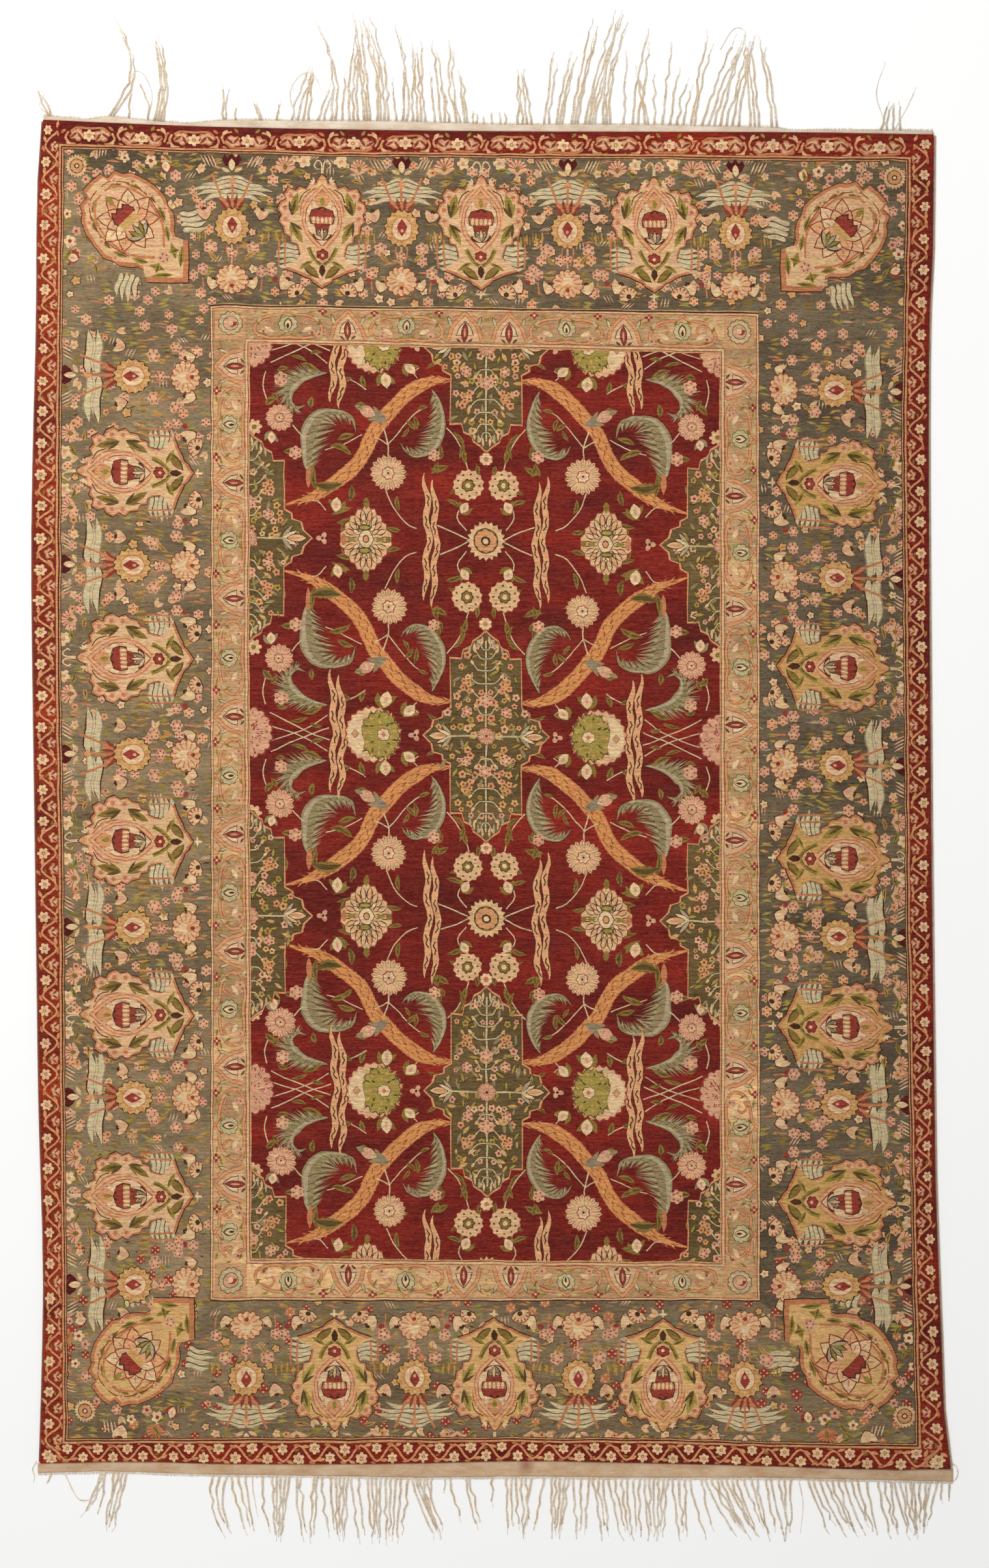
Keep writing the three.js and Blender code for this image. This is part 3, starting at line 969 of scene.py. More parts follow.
def new_group(name, inputs, outputs):
    """An empty shader node group with its sockets. The sockets come as (name, kind, value)."""
    tree = bpy.data.node_groups.new(name, "ShaderNodeTree")
    for way, sockets in (("INPUT", inputs), ("OUTPUT", outputs)):
        for label, kind, value in sockets:
            socket = tree.interface.new_socket(label, in_out=way, socket_type="NodeSocket" + kind)
            if value is not None:
                socket.default_value = value
    return tree, tree.nodes.new("NodeGroupInput"), tree.nodes.new("NodeGroupOutput")


def stretched_noise(tree, scale, detail=3.0, rough=0.55, place=None):
    """Noise in the object's own space, stretched by a scale of its own each way, in cells a metre."""
    where = place or add(tree, "TexCoord").outputs["Object"]
    mapped = add(tree, "Mapping", {"Vector": where, "Scale": scale})
    return add(
        tree, "TexNoise", {"Vector": mapped.outputs[0], "Scale": 1.0, "Detail": detail, "Roughness": rough}
    ).outputs["Fac"]


def ranged(tree, value, low, high, out_low=0.0, out_high=1.0):
    return add(
        tree,
        "MapRange",
        {"Value": value, "From Min": low, "From Max": high, "To Min": out_low, "To Max": out_high},
    ).outputs[0]


def maths(tree, operation, a, b=0.0):
    return add(tree, "Math", {0: a, 1: b}, operation=operation).outputs[0]


def blended(tree, kind, share, a, b):
    made = add(tree, "Mix", data_type="RGBA", blend_type=kind)
    for index, source in ((0, share), (6, a), (7, b)):
        if isinstance(source, bpy.types.NodeSocket):
            tree.links.new(source, made.inputs[index])
        else:
            made.inputs[index].default_value = source
    return made.outputs[2]


def dyed_yarn_and_light_group():
    """Dyed silk or cotton as it ages: bands of uneven dye, weft-wise streaks, and single knots. Painted light is laid
    over them too: patches of painted shade where the pile lies differently, painted shade that darkens every part
    towards the rug's right side, and painted glints that lighten the knots.
    """
    tree, source, result = new_group(
        "aged_dye_and_painted_light",
        [
            ("Color", "Color", (0.5, 0.4, 0.3, 1)),
            ("Drift", "Float", 0.0),
            ("Streaks", "Float", 0.2),
            ("Knots", "Float", 0.28),
            ("Tints", "Float", 0.16),
        ],
        [("Color", "Color", None), ("Height", "Float", None), ("Roughness", "Float", None)],
    )
    bands = stretched_noise(tree, (1.1, 9.0, 1.0), 4.0, 0.62)
    # Painted shade: medium patches where the pile lies differently, lighter and darker as they catch the light; the
    # same patches set the roughness.
    patches = stretched_noise(tree, (9.0, 16.0, 1.0), 3.0, 0.6)
    streaks = stretched_noise(tree, (34.0, 300.0, 1.0), 3.0, 0.62)
    dashes = stretched_noise(tree, (150.0, 640.0, 1.0), 2.0, 0.7)
    knots = stretched_noise(tree, (900.0, 1000.0, 1.0), 1.0, 0.6)
    band_light = ranged(tree, bands, 0.34, 0.66, 0.7, 1.34)
    pile_shade = ranged(tree, patches, 0.32, 0.68, 0.72, 1.34)
    drift_and_pile_shade = add(
        tree,
        "Mix",
        {0: source.outputs["Drift"], 2: 1.0, 3: maths(tree, "MULTIPLY", band_light, pile_shade)},
        data_type="FLOAT",
    ).outputs[0]
    streak_part = maths(tree, "MULTIPLY", ranged(tree, streaks, 0.32, 0.68, -1.0, 1.0), source.outputs["Streaks"])
    dash_part = maths(tree, "MULTIPLY", ranged(tree, dashes, 0.3, 0.7, -1.0, 1.0), source.outputs["Knots"])
    knot_part = maths(tree, "MULTIPLY", ranged(tree, knots, 0.3, 0.7, -0.7, 0.7), source.outputs["Knots"])
    grain = maths(tree, "ADD", maths(tree, "ADD", streak_part, dash_part), knot_part)
    # Painted shade: every colour darkens towards the rug's right side, to 0.86 from x 0.3 m to x 0.56 m.
    plan = add(tree, "SeparateXYZ", {0: add(tree, "TexCoord").outputs["Object"]})
    shaded_side = ranged(tree, plan.outputs[0], 0.3, 0.56, 1.0, 0.86)
    light = maths(tree, "MULTIPLY", drift_and_pile_shade, maths(tree, "ADD", grain, 1.0))
    light = maths(tree, "MULTIPLY", light, shaded_side)
    lit = add(tree, "VectorMath", {0: source.outputs["Color"], "Scale": light}, operation="SCALE")
    where = add(tree, "TexCoord").outputs["Object"]
    mapped = add(tree, "Mapping", {"Vector": where, "Scale": (120.0, 420.0, 1.0)})
    hues = add(tree, "TexNoise", {"Vector": mapped.outputs[0], "Scale": 1.0, "Detail": 2.0})
    centred = add(tree, "VectorMath", {0: hues.outputs["Color"], 1: (0.5, 0.5, 0.5)}, operation="SUBTRACT")
    amount = maths(tree, "MULTIPLY", source.outputs["Tints"], 4.0)
    spread = add(tree, "VectorMath", {0: centred.outputs[0], "Scale": amount}, operation="SCALE")
    shifted = add(tree, "VectorMath", {0: spread.outputs[0], 1: (1, 1, 1)}, operation="ADD")
    tinted = add(tree, "VectorMath", {0: lit.outputs[0], 1: shifted.outputs[0]}, operation="MULTIPLY")
    # Painted glint: a warm pale light added to the knots and streaks with the grain, and taken away where the grain is
    # low.
    painted_glint = add(tree, "VectorMath", {0: (1.0, 0.94, 0.86), "Scale": maths(tree, "MULTIPLY", grain, 0.04)}, operation="SCALE")
    glinted = add(tree, "VectorMath", {0: tinted.outputs[0], 1: painted_glint.outputs[0]}, operation="ADD")
    kept_dark = add(tree, "VectorMath", {0: glinted.outputs[0], 1: (0.004, 0.003, 0.002)}, operation="MAXIMUM")
    tree.links.new(kept_dark.outputs[0], result.inputs["Color"])
    tree.links.new(maths(tree, "ADD", grain, 0.5), result.inputs["Height"])
    tree.links.new(ranged(tree, patches, 0.3, 0.7, 0.62, 0.8), result.inputs["Roughness"])
    return tree


aged_dye_and_painted_light = dyed_yarn_and_light_group()


def finished(tree, shader, colour, height, bump, distance):
    """Feeds a Principled shader its colour, and its normal from a height."""
    tree.links.new(colour, shader.inputs["Base Color"])
    bumped = add(tree, "Bump", {"Height": height, "Strength": bump, "Distance": distance})
    tree.links.new(bumped.outputs[0], shader.inputs["Normal"])


def silk_pile():
    """Clipped silk: a soft, slightly glossy pile over the dyes of the chart, with the painted shade and painted glints
    of the dye group.
    """
    made = bpy.data.materials.new("silk_pile")
    made.use_nodes = True
    tree = made.node_tree
    shader = tree.nodes["Principled BSDF"]
    shader.inputs["Specular IOR Level"].default_value = 0.16
    shader.inputs["Sheen Weight"].default_value = 0.05
    shader.inputs["Sheen Roughness"].default_value = 0.4
    chart_dye = add(tree, "VertexColor", layer_name="dye")
    aged_and_lit = add(
        tree,
        "Group",
        {},
        node_tree=aged_dye_and_painted_light,
    )
    tree.links.new(chart_dye.outputs["Color"], aged_and_lit.inputs["Color"])
    tree.links.new(chart_dye.outputs["Alpha"], aged_and_lit.inputs["Drift"])
    finished(tree, shader, aged_and_lit.outputs["Color"], aged_and_lit.outputs["Height"], 0.35, 0.0006)
    tree.links.new(aged_and_lit.outputs["Roughness"], shader.inputs["Roughness"])
    return made


pile_paint = silk_pile()


def pile_piece(made):
    made.data.materials.append(pile_paint)
    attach(made, "root")


FIELD_CUT = -47
field_chart()
whole_field = list(chart)
for part, low, high in (("upper", FIELD_CUT, SQUARE_Y[4]), ("lower", SQUARE_Y[3], FIELD_CUT)):
    chart[:] = whole_field
    field_box = box_of(SQUARE_X[3], low, SQUARE_X[4], high)
    pile_piece(inlay(f"pile_field_{part}", "crimson", field_box, keep=part == "upper"))
# Silk pile, inner border
# The narrow golden border round the field, with arches, cartouches, scrolls and small crosses
# between double guard lines. It is knotted in one with the field.


def side_put(side):
    """The placing of a border's motifs along one side: x runs along it, and y outwards from the border's inner line."""
    inner = {
        "inner": {"top": SQUARE_Y[4], "bottom": SQUARE_Y[3], "left": SQUARE_X[3], "right": SQUARE_X[4]},
        "main": {"top": SQUARE_Y[5], "bottom": SQUARE_Y[2], "left": SQUARE_X[2], "right": SQUARE_X[5]},
        "outer": {"top": SQUARE_Y[6], "bottom": SQUARE_Y[1], "left": SQUARE_X[1], "right": SQUARE_X[6]},
    }

    def placing(border):
        line = inner[border][side]
        if side == "top":
            return lambda z: complex(z.real, line + z.imag)
        if side == "bottom":
            return lambda z: complex(z.real, line - z.imag)
        if side == "left":
            return lambda z: complex(line - z.imag, z.real)
        return lambda z: complex(line + z.imag, z.real)

    return placing


def arch(put):
    """A pointed arch with a red spindle in it."""
    half_line = [complex(x, y) for x, y in ((27, 11), (24, 17), (21, 29), (15, 40), (8, 47), (0, 55))]
    line = [complex(-z.real, z.imag) for z in half_line] + half_line[-2::-1]
    smooth_line = spline(line, 3)
    lay(put, smooth_line, "tan")
    lay(put, ribbon(smooth_line, 3.2), "brick")
    lay(put, ribbon(smooth_line, 2.5), "apricot")
    lay(put, [z * 0.52 + 14j for z in smooth_line], "umber")
    lay(put, [z * 0.46 + 15.6j for z in smooth_line], "ivory")
    lay(at(put, 8j, 90), leaf(33, 11.5), "umber")
    lay(at(put, 9.5j, 90), leaf(30, 8.5), "madder")
    lay(at(put, 17j, 90), leaf(15, 3), "rose")
    for side in (-1, 1):
        lay(at(put, complex(side * 5, 9), 90 - side * 50), leaf(10, 3.5), "moss")
        stem(put, [complex(side * 26, 12), complex(side * 33, 17), complex(side * 36, 26)], 2.4, "apricot", 3)
        stem(put, [complex(side * 12, 52), complex(side * 22, 46), complex(side * 30, 52)], 2.4, "coral", 3)
        lay(at(put, complex(side * 20, 34), 90 - side * 20), leaf(18, 6, 0, 3), "umber")
        lay(at(put, complex(side * 20, 34), 90 - side * 20), leaf(16, 4.4, 0, 3), "mint")
        lay(at(put, complex(side * 28, 44), 90 - side * 70), leaf(12, 4, 0, 3), "fern")


def cartouche(put, half_length=52):
    """A flat ogee cartouche with a pale palmette in the middle and a scroll at each side."""
    rim = ((0, 56), (11, 49), (30, 47), (half_length - 8, 40), (half_length, 27), (half_length - 6, 15), (24, 10), (0, 12))
    for side in (-1, 1):
        line = spline([complex(side * x, y) for x, y in rim], 3)
        lay(put, ribbon(line, 2.5), "brick")
        lay(put, ribbon(line, 1.8), "apricot")
        curl = [complex(side * x, y) for x, y in ((40, 38), (30, 42), (22, 34), (28, 27), (35, 31))]
        stem(put, curl, 3.4, "brick", 3)
        stem(put, curl, 2.2, "apricot", 3)
        lay(at(put, complex(side * 21, 20), 90 - side * 60), leaf(18, 7), "ivory")
        floret(loosely(put, complex(side * 37, 20)), 6.5, "rose", "madder", 5)
        lay(at(put, complex(side * 13, 42), 90 + side * 40), leaf(10, 4, 0, 3), "olive")
        for x, y, turn, colour in (
            (44, 30, 60, "olive"),
            (47, 36, 120, "mint"),
            (30, 51, 10, "fern"),
            (18, 52, 170, "mint"),
            (31, 14, 20, "olive"),
            (14, 13, 160, "fern"),
            (48, 48, 40, "rose"),
            (50, 14, -30, "mint"),
        ):
            lay(at(put, complex(side * x, y), 90 - side * (90 - turn)), leaf(13, 4.4, 0, 2), colour)
    lay(put, [z + 33j for z in scallop(15, 14.5, lobes=9, depth=0.16)], "umber")
    lay(put, [z + 33j for z in scallop(14, 13.5, lobes=9, depth=0.16)], "mint")
    lay(at(put, 22j, 90), leaf(22, 13), "moss")
    lay(at(put, 23j, 90), leaf(18, 9), "ivory")
    lay(at(put, 25j, 90), leaf(10, 4), "umber")


def cross_flower(put, r=6.5):
    for turn in (0, 90, 180, 270):
        lay(at(put, 0, turn), oval(0.5 * r, 0.38 * r, 7, centre=0.6 * r), "madder")
    lay(put, oval(0.28 * r, n=6), "ivory")


def inner_border_side(side, length, arches):
    """One side of the inner border. arches are the places of its arches along it."""
    put = side_put(side)("inner")
    step = (arches[-1] - arches[0]) / max(len(arches) - 1, 1)
    places = list(arches)
    for a, b in zip(places, places[1:]):
        if b - a > 100:
            cartouche(at(put, (a + b) / 2), min(56, (b - a) / 2 - 33))
            for share in (0.22, 0.78):
                cross_flower(loosely(put, complex(a + (b - a) * share, 53)))
            for share in (0.29, 0.71):
                floret(loosely(put, complex(a + (b - a) * share, 17)), 6.5, "rose", "olive", 5)
    for place in places:
        arch(at(put, place))
    for end, sign in ((arches[0], -1), (arches[-1], 1)):
        room = (length[1] - end) if sign > 0 else (end - length[0])
        if room > 60:
            cartouche(at(put, end + sign * (34 + (room - 34) / 2)), max(24, min(56, (room - 34) / 2 - 6)))
            cross_flower(loosely(put, complex(end + sign * 38, 53)))
            floret(loosely(put, complex(end + sign * 44, 17)), 6.5, "rose", "olive", 5)


def inner_border_corner(x, y, sx, sy):
    """The square in a corner of the inner border, with a coiled pale rosette."""
    put = at(sheet_put, complex(x + sx * 31, y + sy * 33), 0, 1)
    lay(put, box_of(-24, -25, 24, 25), "apricot")
    lay(put, box_of(-21.5, -22.5, 21.5, 22.5), "gold")
    lay(put, scallop(20, lobes=12, depth=0.12), "brick")
    lay(put, scallop(18.5, lobes=12, depth=0.12), "mint")
    lay(put, oval(12, n=12), "umber")
    lay(put, oval(11, n=12), "rose")
    lay(at(put, 3 - 2j, 30), leaf(14, 8) and [z - 6 for z in leaf(14, 8)], "madder")
    lay(put, oval(4, n=8), "ivory")


def frame_lines(border, lines):
    """Thin lines that run right round a border. Each has how far out it starts and ends, and its colour."""
    sides = {side: side_put(side)(border) for side in ("top", "bottom", "left", "right")}
    for start, end, colour in lines:
        x0, x1 = sides["left"](0).real, sides["right"](0).real
        y0, y1 = sides["bottom"](0).imag, sides["top"](0).imag
        lay(sheet_put, box_of(x0 - end, y0 - end, x1 + end, y0 - start), colour)
        lay(sheet_put, box_of(x0 - end, y1 + start, x1 + end, y1 + end), colour)
        lay(sheet_put, box_of(x0 - end, y0 - end, x0 - start, y1 + end), colour)
        lay(sheet_put, box_of(x1 + start, y0 - end, x1 + end, y1 + end), colour)


def ring_spot(inner, outer):
    """A place anywhere in a border. inner and outer are its two boxes."""
    while True:
        z = complex(hand.uniform(outer[0], outer[2]), hand.uniform(outer[1], outer[3]))
        if not (inner[0] < z.real < inner[2] and inner[1] < z.imag < inner[3]):
            return z


def clear_of(z, kept):
    return all(abs(z - centre) > room for centre, room in kept)


def ring_speckle(count, inner, outer, spots, kept=()):
    """Scatters small things over a border all round, none on what is kept clear."""
    for _ in range(count):
        z = ring_spot(inner, outer)
        if clear_of(z, kept):
            hand.choice(spots)(at(sheet_put, z))


def dash(colour, length=9.0, width=2.4, level=True):
    """A small lens of colour, mostly level, as the wefts lie."""

    def spot(put):
        turn = hand.gauss(0, 14) if level else hand.uniform(0, 360)
        lay(at(put, 0, turn), leaf(length * hand.uniform(0.6, 1.4), width * hand.uniform(0.7, 1.3), 0, 2), colour)

    return spot


INNER_BOX = (SQUARE_X[3], SQUARE_Y[3], SQUARE_X[4], SQUARE_Y[4])
MAIN_BOX = (SQUARE_X[2], SQUARE_Y[2], SQUARE_X[5], SQUARE_Y[5])
GUARD_BOX = (SQUARE_X[1], SQUARE_Y[1], SQUARE_X[6], SQUARE_Y[6])
RIM_BOX = (SQUARE_X[0], SQUARE_Y[0], SQUARE_X[7], SQUARE_Y[7])
ring_speckle(
    900,
    INNER_BOX,
    MAIN_BOX,
    [dash("tan"), dash("smoke"), dash("ash"), dash("cream"), dash("ochre"), dash("smoke", 5, 2, False)],
)
for side, length, arches in (
    ("top", (-364, 356), (-214, -35, 33, 209)),
    ("bottom", (-364, 356), (-216, -38, 34, 206)),
    ("left", (-711, 687), (652, 474, 297, 116, -64, -242, -420, -598)[::-1]),
    ("right", (-711, 687), (644, 468, 294, 116, -62, -240, -416, -592)[::-1]),
):
    inner_border_side(side, length, arches)
for x, sx in ((INNER_BOX[0], -1), (INNER_BOX[2], 1)):
    for y, sy in ((INNER_BOX[1], -1), (INNER_BOX[3], 1)):
        inner_border_corner(x, y, sx, sy)
frame_lines(
    "inner",
    (
        (0, 2.4, "apricot"),
        (2.4, 3.4, "umber"),
        (3.4, 7, "cream"),
        (7, 8, "brick"),
        (57.5, 58.5, "brick"),
        (58.5, 61, "cream"),
        (61, 63.5, "umber"),
    ),
)
pile_piece(inlay("pile_inner_border", "gold", box_of(*MAIN_BOX), box_of(*INNER_BOX)))

# Silk pile, main border
# The wide green-grey border of crowned palmettes, golden flowers, cloud stripes and tulips, each
# standing on the inner line with its head outwards, and a stepped palmette across each corner.


def clouds(put, start, end, count=4, step=6.4, wave=1.7, taper=4.0):
    """A bundle of cream cloud stripes side by side, parted by dark waving lines, from start to end along x."""
    for k in range(count):
        offset = (k - (count - 1) / 2) * step
        cut = abs(k - (count - 1) / 2) * taper
        begin = start + 0.3 * cut
        stop = end - cut - hand.uniform(0, 4)
        path = []
        for n in range(9):
            t = n / 8
            path.append(complex(begin + (stop - begin) * t, offset + wave * math.sin(2.2 * math.pi * t + 0.6 * k)))

        def half(t, share=0.5):
            return share * step * min(1, 4 * t + 0.5, 3.0 * (1 - t) + 0.06)

        lay(put, ribbon(path, lambda t: half(t, 0.58)), "umber" if k % 2 else "smoke")
        lay(put, ribbon(path, lambda t: half(t, 0.4)), "cloud")


def moustache(put, reach=60):
    """The cloud over a golden flower: two wings of cream stripes that droop from the middle."""
    for side in (-1, 1):
        for k, (rise, length) in enumerate(((15, 30), (9, 46), (2, 60), (-5, 56), (-12, 44))):
            path = []
            for n in range(8):
                t = n / 7
                y = rise - 7 * t * t + 1.8 * math.sin(2 * math.pi * t * 1.1 + k)
                path.append(complex(side * (1 + length * reach / 60 * t), y))

            def half(t, share=1.0):
                return share * min(1, 3.2 * (1 - t) + 0.08)

            lay(put, ribbon(path, lambda t: half(t, 4.1)), "umber" if k % 2 else "smoke")
            lay(put, ribbon(path, lambda t: half(t, 2.9)), "cloud")


def tulip(put, r=10, petal="cream", flame="apricot"):
    """A tulip that opens along +y."""
    lay(at(put, -2j, 90), leaf(2.2 * r, 1.9 * r), "umber")
    for side in (-1, 1):
        lay(at(put, 0, 90 - side * 30), leaf(2.1 * r, 1.0 * r, side * 0.15 * r), petal)
    lay(at(put, 0, 90), leaf(1.6 * r, 0.8 * r), flame)


def carnation(put, r=14, petal="pink", line="madder"):
    """A ragged carnation that opens along +y, rayed with thin strokes."""
    rim = [cmath.rect(r * (1.12 if k % 2 else 0.9), math.pi * (k - 1) / 14) for k in range(17)]
    lay(put, rim + [complex(0, -0.7 * r)], petal)
    for k in range(7):
        along = cmath.rect(1, math.pi * (k + 0.5) / 7)
        lay(put, [along * z for z in (0.2 * r - 0.3j, 1.0 * r - 0.75j, 1.0 * r + 0.75j, 0.2 * r + 0.3j)], line)
    lay(at(put, -0.35j * r, 90), leaf(0.7 * r, 0.5 * r), "olive")


def fan(put, r=13):
    """A half round flower that opens along +y, toothed with red and cream."""
    rim = [cmath.rect(r, math.pi * k / 12) for k in range(13)]
    lay(put, [z * 1.08 for z in rim] + [-0.5 * r - 0.4j * r, 0.5 * r - 0.4j * r], "umber")
    lay(put, rim + [-0.45 * r - 0.3j * r, 0.45 * r - 0.3j * r], "cream")
    for k in range(6):
        along = cmath.rect(1, math.pi * (k + 0.7) / 6.4)
        lay(put, [along * z for z in (0.5 * r - 0.2j, 0.95 * r - 1.4j, 0.95 * r + 1.4j)], "madder")
    lay(put, oval(0.3 * r, n=6), "umber")


def claws(put, count=4, length=24):
    """Slanting pale strokes side by side, as a torn cloud."""
    for k in range(count):
        spot = at(put, complex(5.5 * (k - 1.5), 0), 62)
        lay(spot, leaf(length, 4.2), "umber")
        lay(spot, leaf(length - 2, 2.8), "rose" if k % 2 else "cloud")


def grass(put, count=5, colour="ochre"):
    """A tuft of upright strokes."""
    for k in range(count):
        lay(at(put, complex(4.6 * (k - (count - 1) / 2), hand.uniform(-3, 3)), 90), leaf(18, 3), colour if k % 2 else "olive")


CROWN_RIM = (
    (0, 0), (6, 5), (12, 8), (17, 14), (26, 17), (37, 23), (55, 29), (46, 35), (37, 41), (33, 48), (35, 58),
    (38, 66), (46, 68), (48, 77), (56, 81), (58, 92), (64, 99), (60, 108), (66, 117), (62, 127), (54, 131),
    (57, 139), (51, 149), (40, 146), (34, 152), (24, 149), (19, 159), (9, 157), (6, 164), (0, 170),
)  # fmt: skip


def both_sides(points):
    right = [complex(x, y) for x, y in points]
    return right + [complex(-z.real, z.imag) for z in right[-2:0:-1]]


def crown_palmette(put, ground="cream", horn="fern"):
    """The crowned palmette: a stepped, scalloped shield with a lotus and a red crown inside."""
    middle = 88j

    def grown(k):
        return [middle + (z - middle) * k for z in both_sides(CROWN_RIM)]

    lay(put, grown(1.06), "umber")
    lay(put, grown(1.035), "coral")
    lay(put, grown(0.985), ground)
    for side in (-1, 1):
        # the scalloped pink rim and the olive horns
        for x, y, r in ((58, 103, 8), (59, 120, 8), (50, 139, 8), (48, 86, 7)):
            lay(at(put, complex(side * x * 0.97, y)), scallop(r, lobes=5, depth=0.25), "pink")
            lay(at(put, complex(side * x * 0.97, y)), scallop(0.5 * r, lobes=5, depth=0.3), "coral")
        for (ax, ay), (bx, by), wide in (((47, 108), (38, 145), 12), ((49, 99), (30, 66), 11)):
            foot = complex(side * ax, ay)
            along = complex(side * bx, by) - foot
            turn = math.degrees(cmath.phase(along))
            for lean, share, colour in ((0, 1.0, horn), (24, 0.62, "moss"), (-24, 0.62, horn), (0, 0.7, "moss")):
                narrow = 0.4 if lean or share < 1 else 1.0
                lay(at(put, foot, turn + lean), leaf(abs(along) * share, wide * narrow, 0, 4), colour)
        stem(put, [complex(side * x, y) for x, y in ((10, 152), (22, 142), (31, 126), (32, 108), (24, 88))], 3.0, "coral", 3)
        stem(put, [complex(side * x, y) for x, y in ((18, 150), (30, 142), (35, 128))], 1.6, "umber", 3)
        for y0, y1, x in ((96, 138, 28), (82, 118, 34)):
            lay(at(put, complex(side * x * 0.85, y0), 90 - side * 4), leaf(y1 - y0, 6), "pink")
        # the olive foot
        lay(at(put, complex(side * 4, 12), 90 - side * 50), leaf(34, 13), "moss")
        lay(at(put, complex(side * 5, 14), 90 - side * 50), leaf(29, 9), "olive")
        for turn in (-40, 0, 40):
            lay(at(put, complex(side * 12, 160), 90 - side * 60 + turn), leaf(9, 3.4), "ivory")
    ogive = both_sides(((0, 60), (8, 68), (16, 76), (23, 86), (26, 100), (24, 118), (16, 132), (0, 150)))
    lay(put, [105j + (z - 105j) * 1.2 for z in ogive], "coral")
    lay(put, [105j + (z - 105j) * 1.14 for z in ogive], "peach")
    lay(put, ogive, "brick")
    lay(put, [105j + (z - 105j) * 0.95 for z in ogive], "ivory")
    for side in (-1, 1):
        for x, y, turn in ((8, 128, 60), (14, 120, 70), (19, 96, 80), (20, 84, 60)):
            lay(at(put, complex(side * x, y), 90 - side * (90 - turn)), leaf(17, 5), "rose")
    lay(put, both_sides(((0, 120), (8, 124), (12, 133), (7, 142), (0, 148))), "apricot")
    lay(at(put, 124j, 90), leaf(14, 7), "fern")
    lay(put, both_sides(((0, 123), (16, 118), (20, 108), (18, 96), (0, 94))), "umber")
    lay(put, both_sides(((0, 122), (5, 116), (10, 121), (15, 116), (19, 108), (0, 106))), "madder")
    lay(put, both_sides(((0, 107), (18.5, 107), (16, 97), (0, 96))), "coral")
    for x in (-13, -6.5, 0, 6.5, 13):
        lay(at(put, complex(x, 96), 90), leaf(12, 4.4), "ivory")
    lay(put, both_sides(((0, 97), (13, 95), (11, 88), (0, 84))), "brick")
    for turn in (-58, -30, 0, 30, 58):
        lay(at(put, 70j, 90 + turn), leaf(23 - abs(turn) * 0.06, 7), "umber")
        lay(at(put, 71j, 90 + turn), leaf(19 - abs(turn) * 0.06, 4.5), "smoke" if turn % 58 else "cream")
    for side in (-1, 1):
        stem(put, [complex(side * x, y) for x, y in ((2, 33), (14, 44), (22, 60))], 6.5, "fern", 3)
        stem(put, [complex(side * x, y) for x, y in ((3, 34), (14, 46), (20, 58))], 1.6, "moss", 2)
        lay(at(put, complex(side * 36, 26), 90 + side * 60), leaf(26, 8, 0, 3), "fern")
        lay(at(put, complex(side * 30, 31), 90 + side * 60), leaf(16, 2.6, 0, 2), "moss")
    lay(put, [z + 49j for z in oval(12, 13, 8)], "peach")
    lay(put, both_sides(((0, 14), (5, 22), (4, 30), (0, 34))), "umber")
    lay(put, [z + 49j for z in scallop(10.5, 9, lobes=6, depth=0.2)], "umber")
    lay(put, [z + 49j for z in scallop(9, 7.6, lobes=6, depth=0.2)], "madder")
    lay(put, [z + 48j for z in oval(2.6, n=6)], "ivory")
    lay(put, [z + 166j for z in oval(5, 6, 8)], "apricot")


def crown_surround(put, ground):
    """What stands round a crowned palmette, the same on both sides of its axis."""
    for side in (-1, 1):
        clouds(at(put, complex(side * 32, 46), 0 if side > 0 else 180), 1, 44, 5, 7.4)
        for x in (56, 66):
            stem(put, [complex(side * x, 30), complex(side * (x + 1), 52), complex(side * x, 80)], 2.8, "coral", 3)
        grass(loosely(put, complex(side * 66, 66)), 5, "ochre")
        carnation(loosely(put, complex(side * 57, 182)), 14)
        floret(loosely(put, complex(side * 28, 192)), 11, "ivory", "apricot", 5)
        stem(put, [complex(side * x, y) for x, y in ((1, 172), (2, 190), (8, 194), (13, 186), (10, 182))], 2, "ivory", 3)
        tulip(loosely(put, complex(side * 62, -6), side * 34), 11, "cream", "ivory")
        lay(at(put, complex(side * 72, 10)), oval(5, 4, 7), "madder")
        fan(loosely(put, complex(side * 39, -10), side * -24), 14)
        blossom(loosely(put, complex(side * 76, 22)), 9)
        small_leaf(put, side * 24, 176, 90 - side * 70, 16, 5, "fern")
        small_leaf(put, side * 44, 163, 90 - side * 100, 16, 5, "ochre")
        floret(loosely(put, complex(side * 74, 178)), 6, "apricot", "brick", 5)
    stem(put, [-16j, -3j, 0], 3, "ivory", 2)
    lay(at(put, -9j, 0), [z - 8 for z in leaf(16, 4)], "ivory")


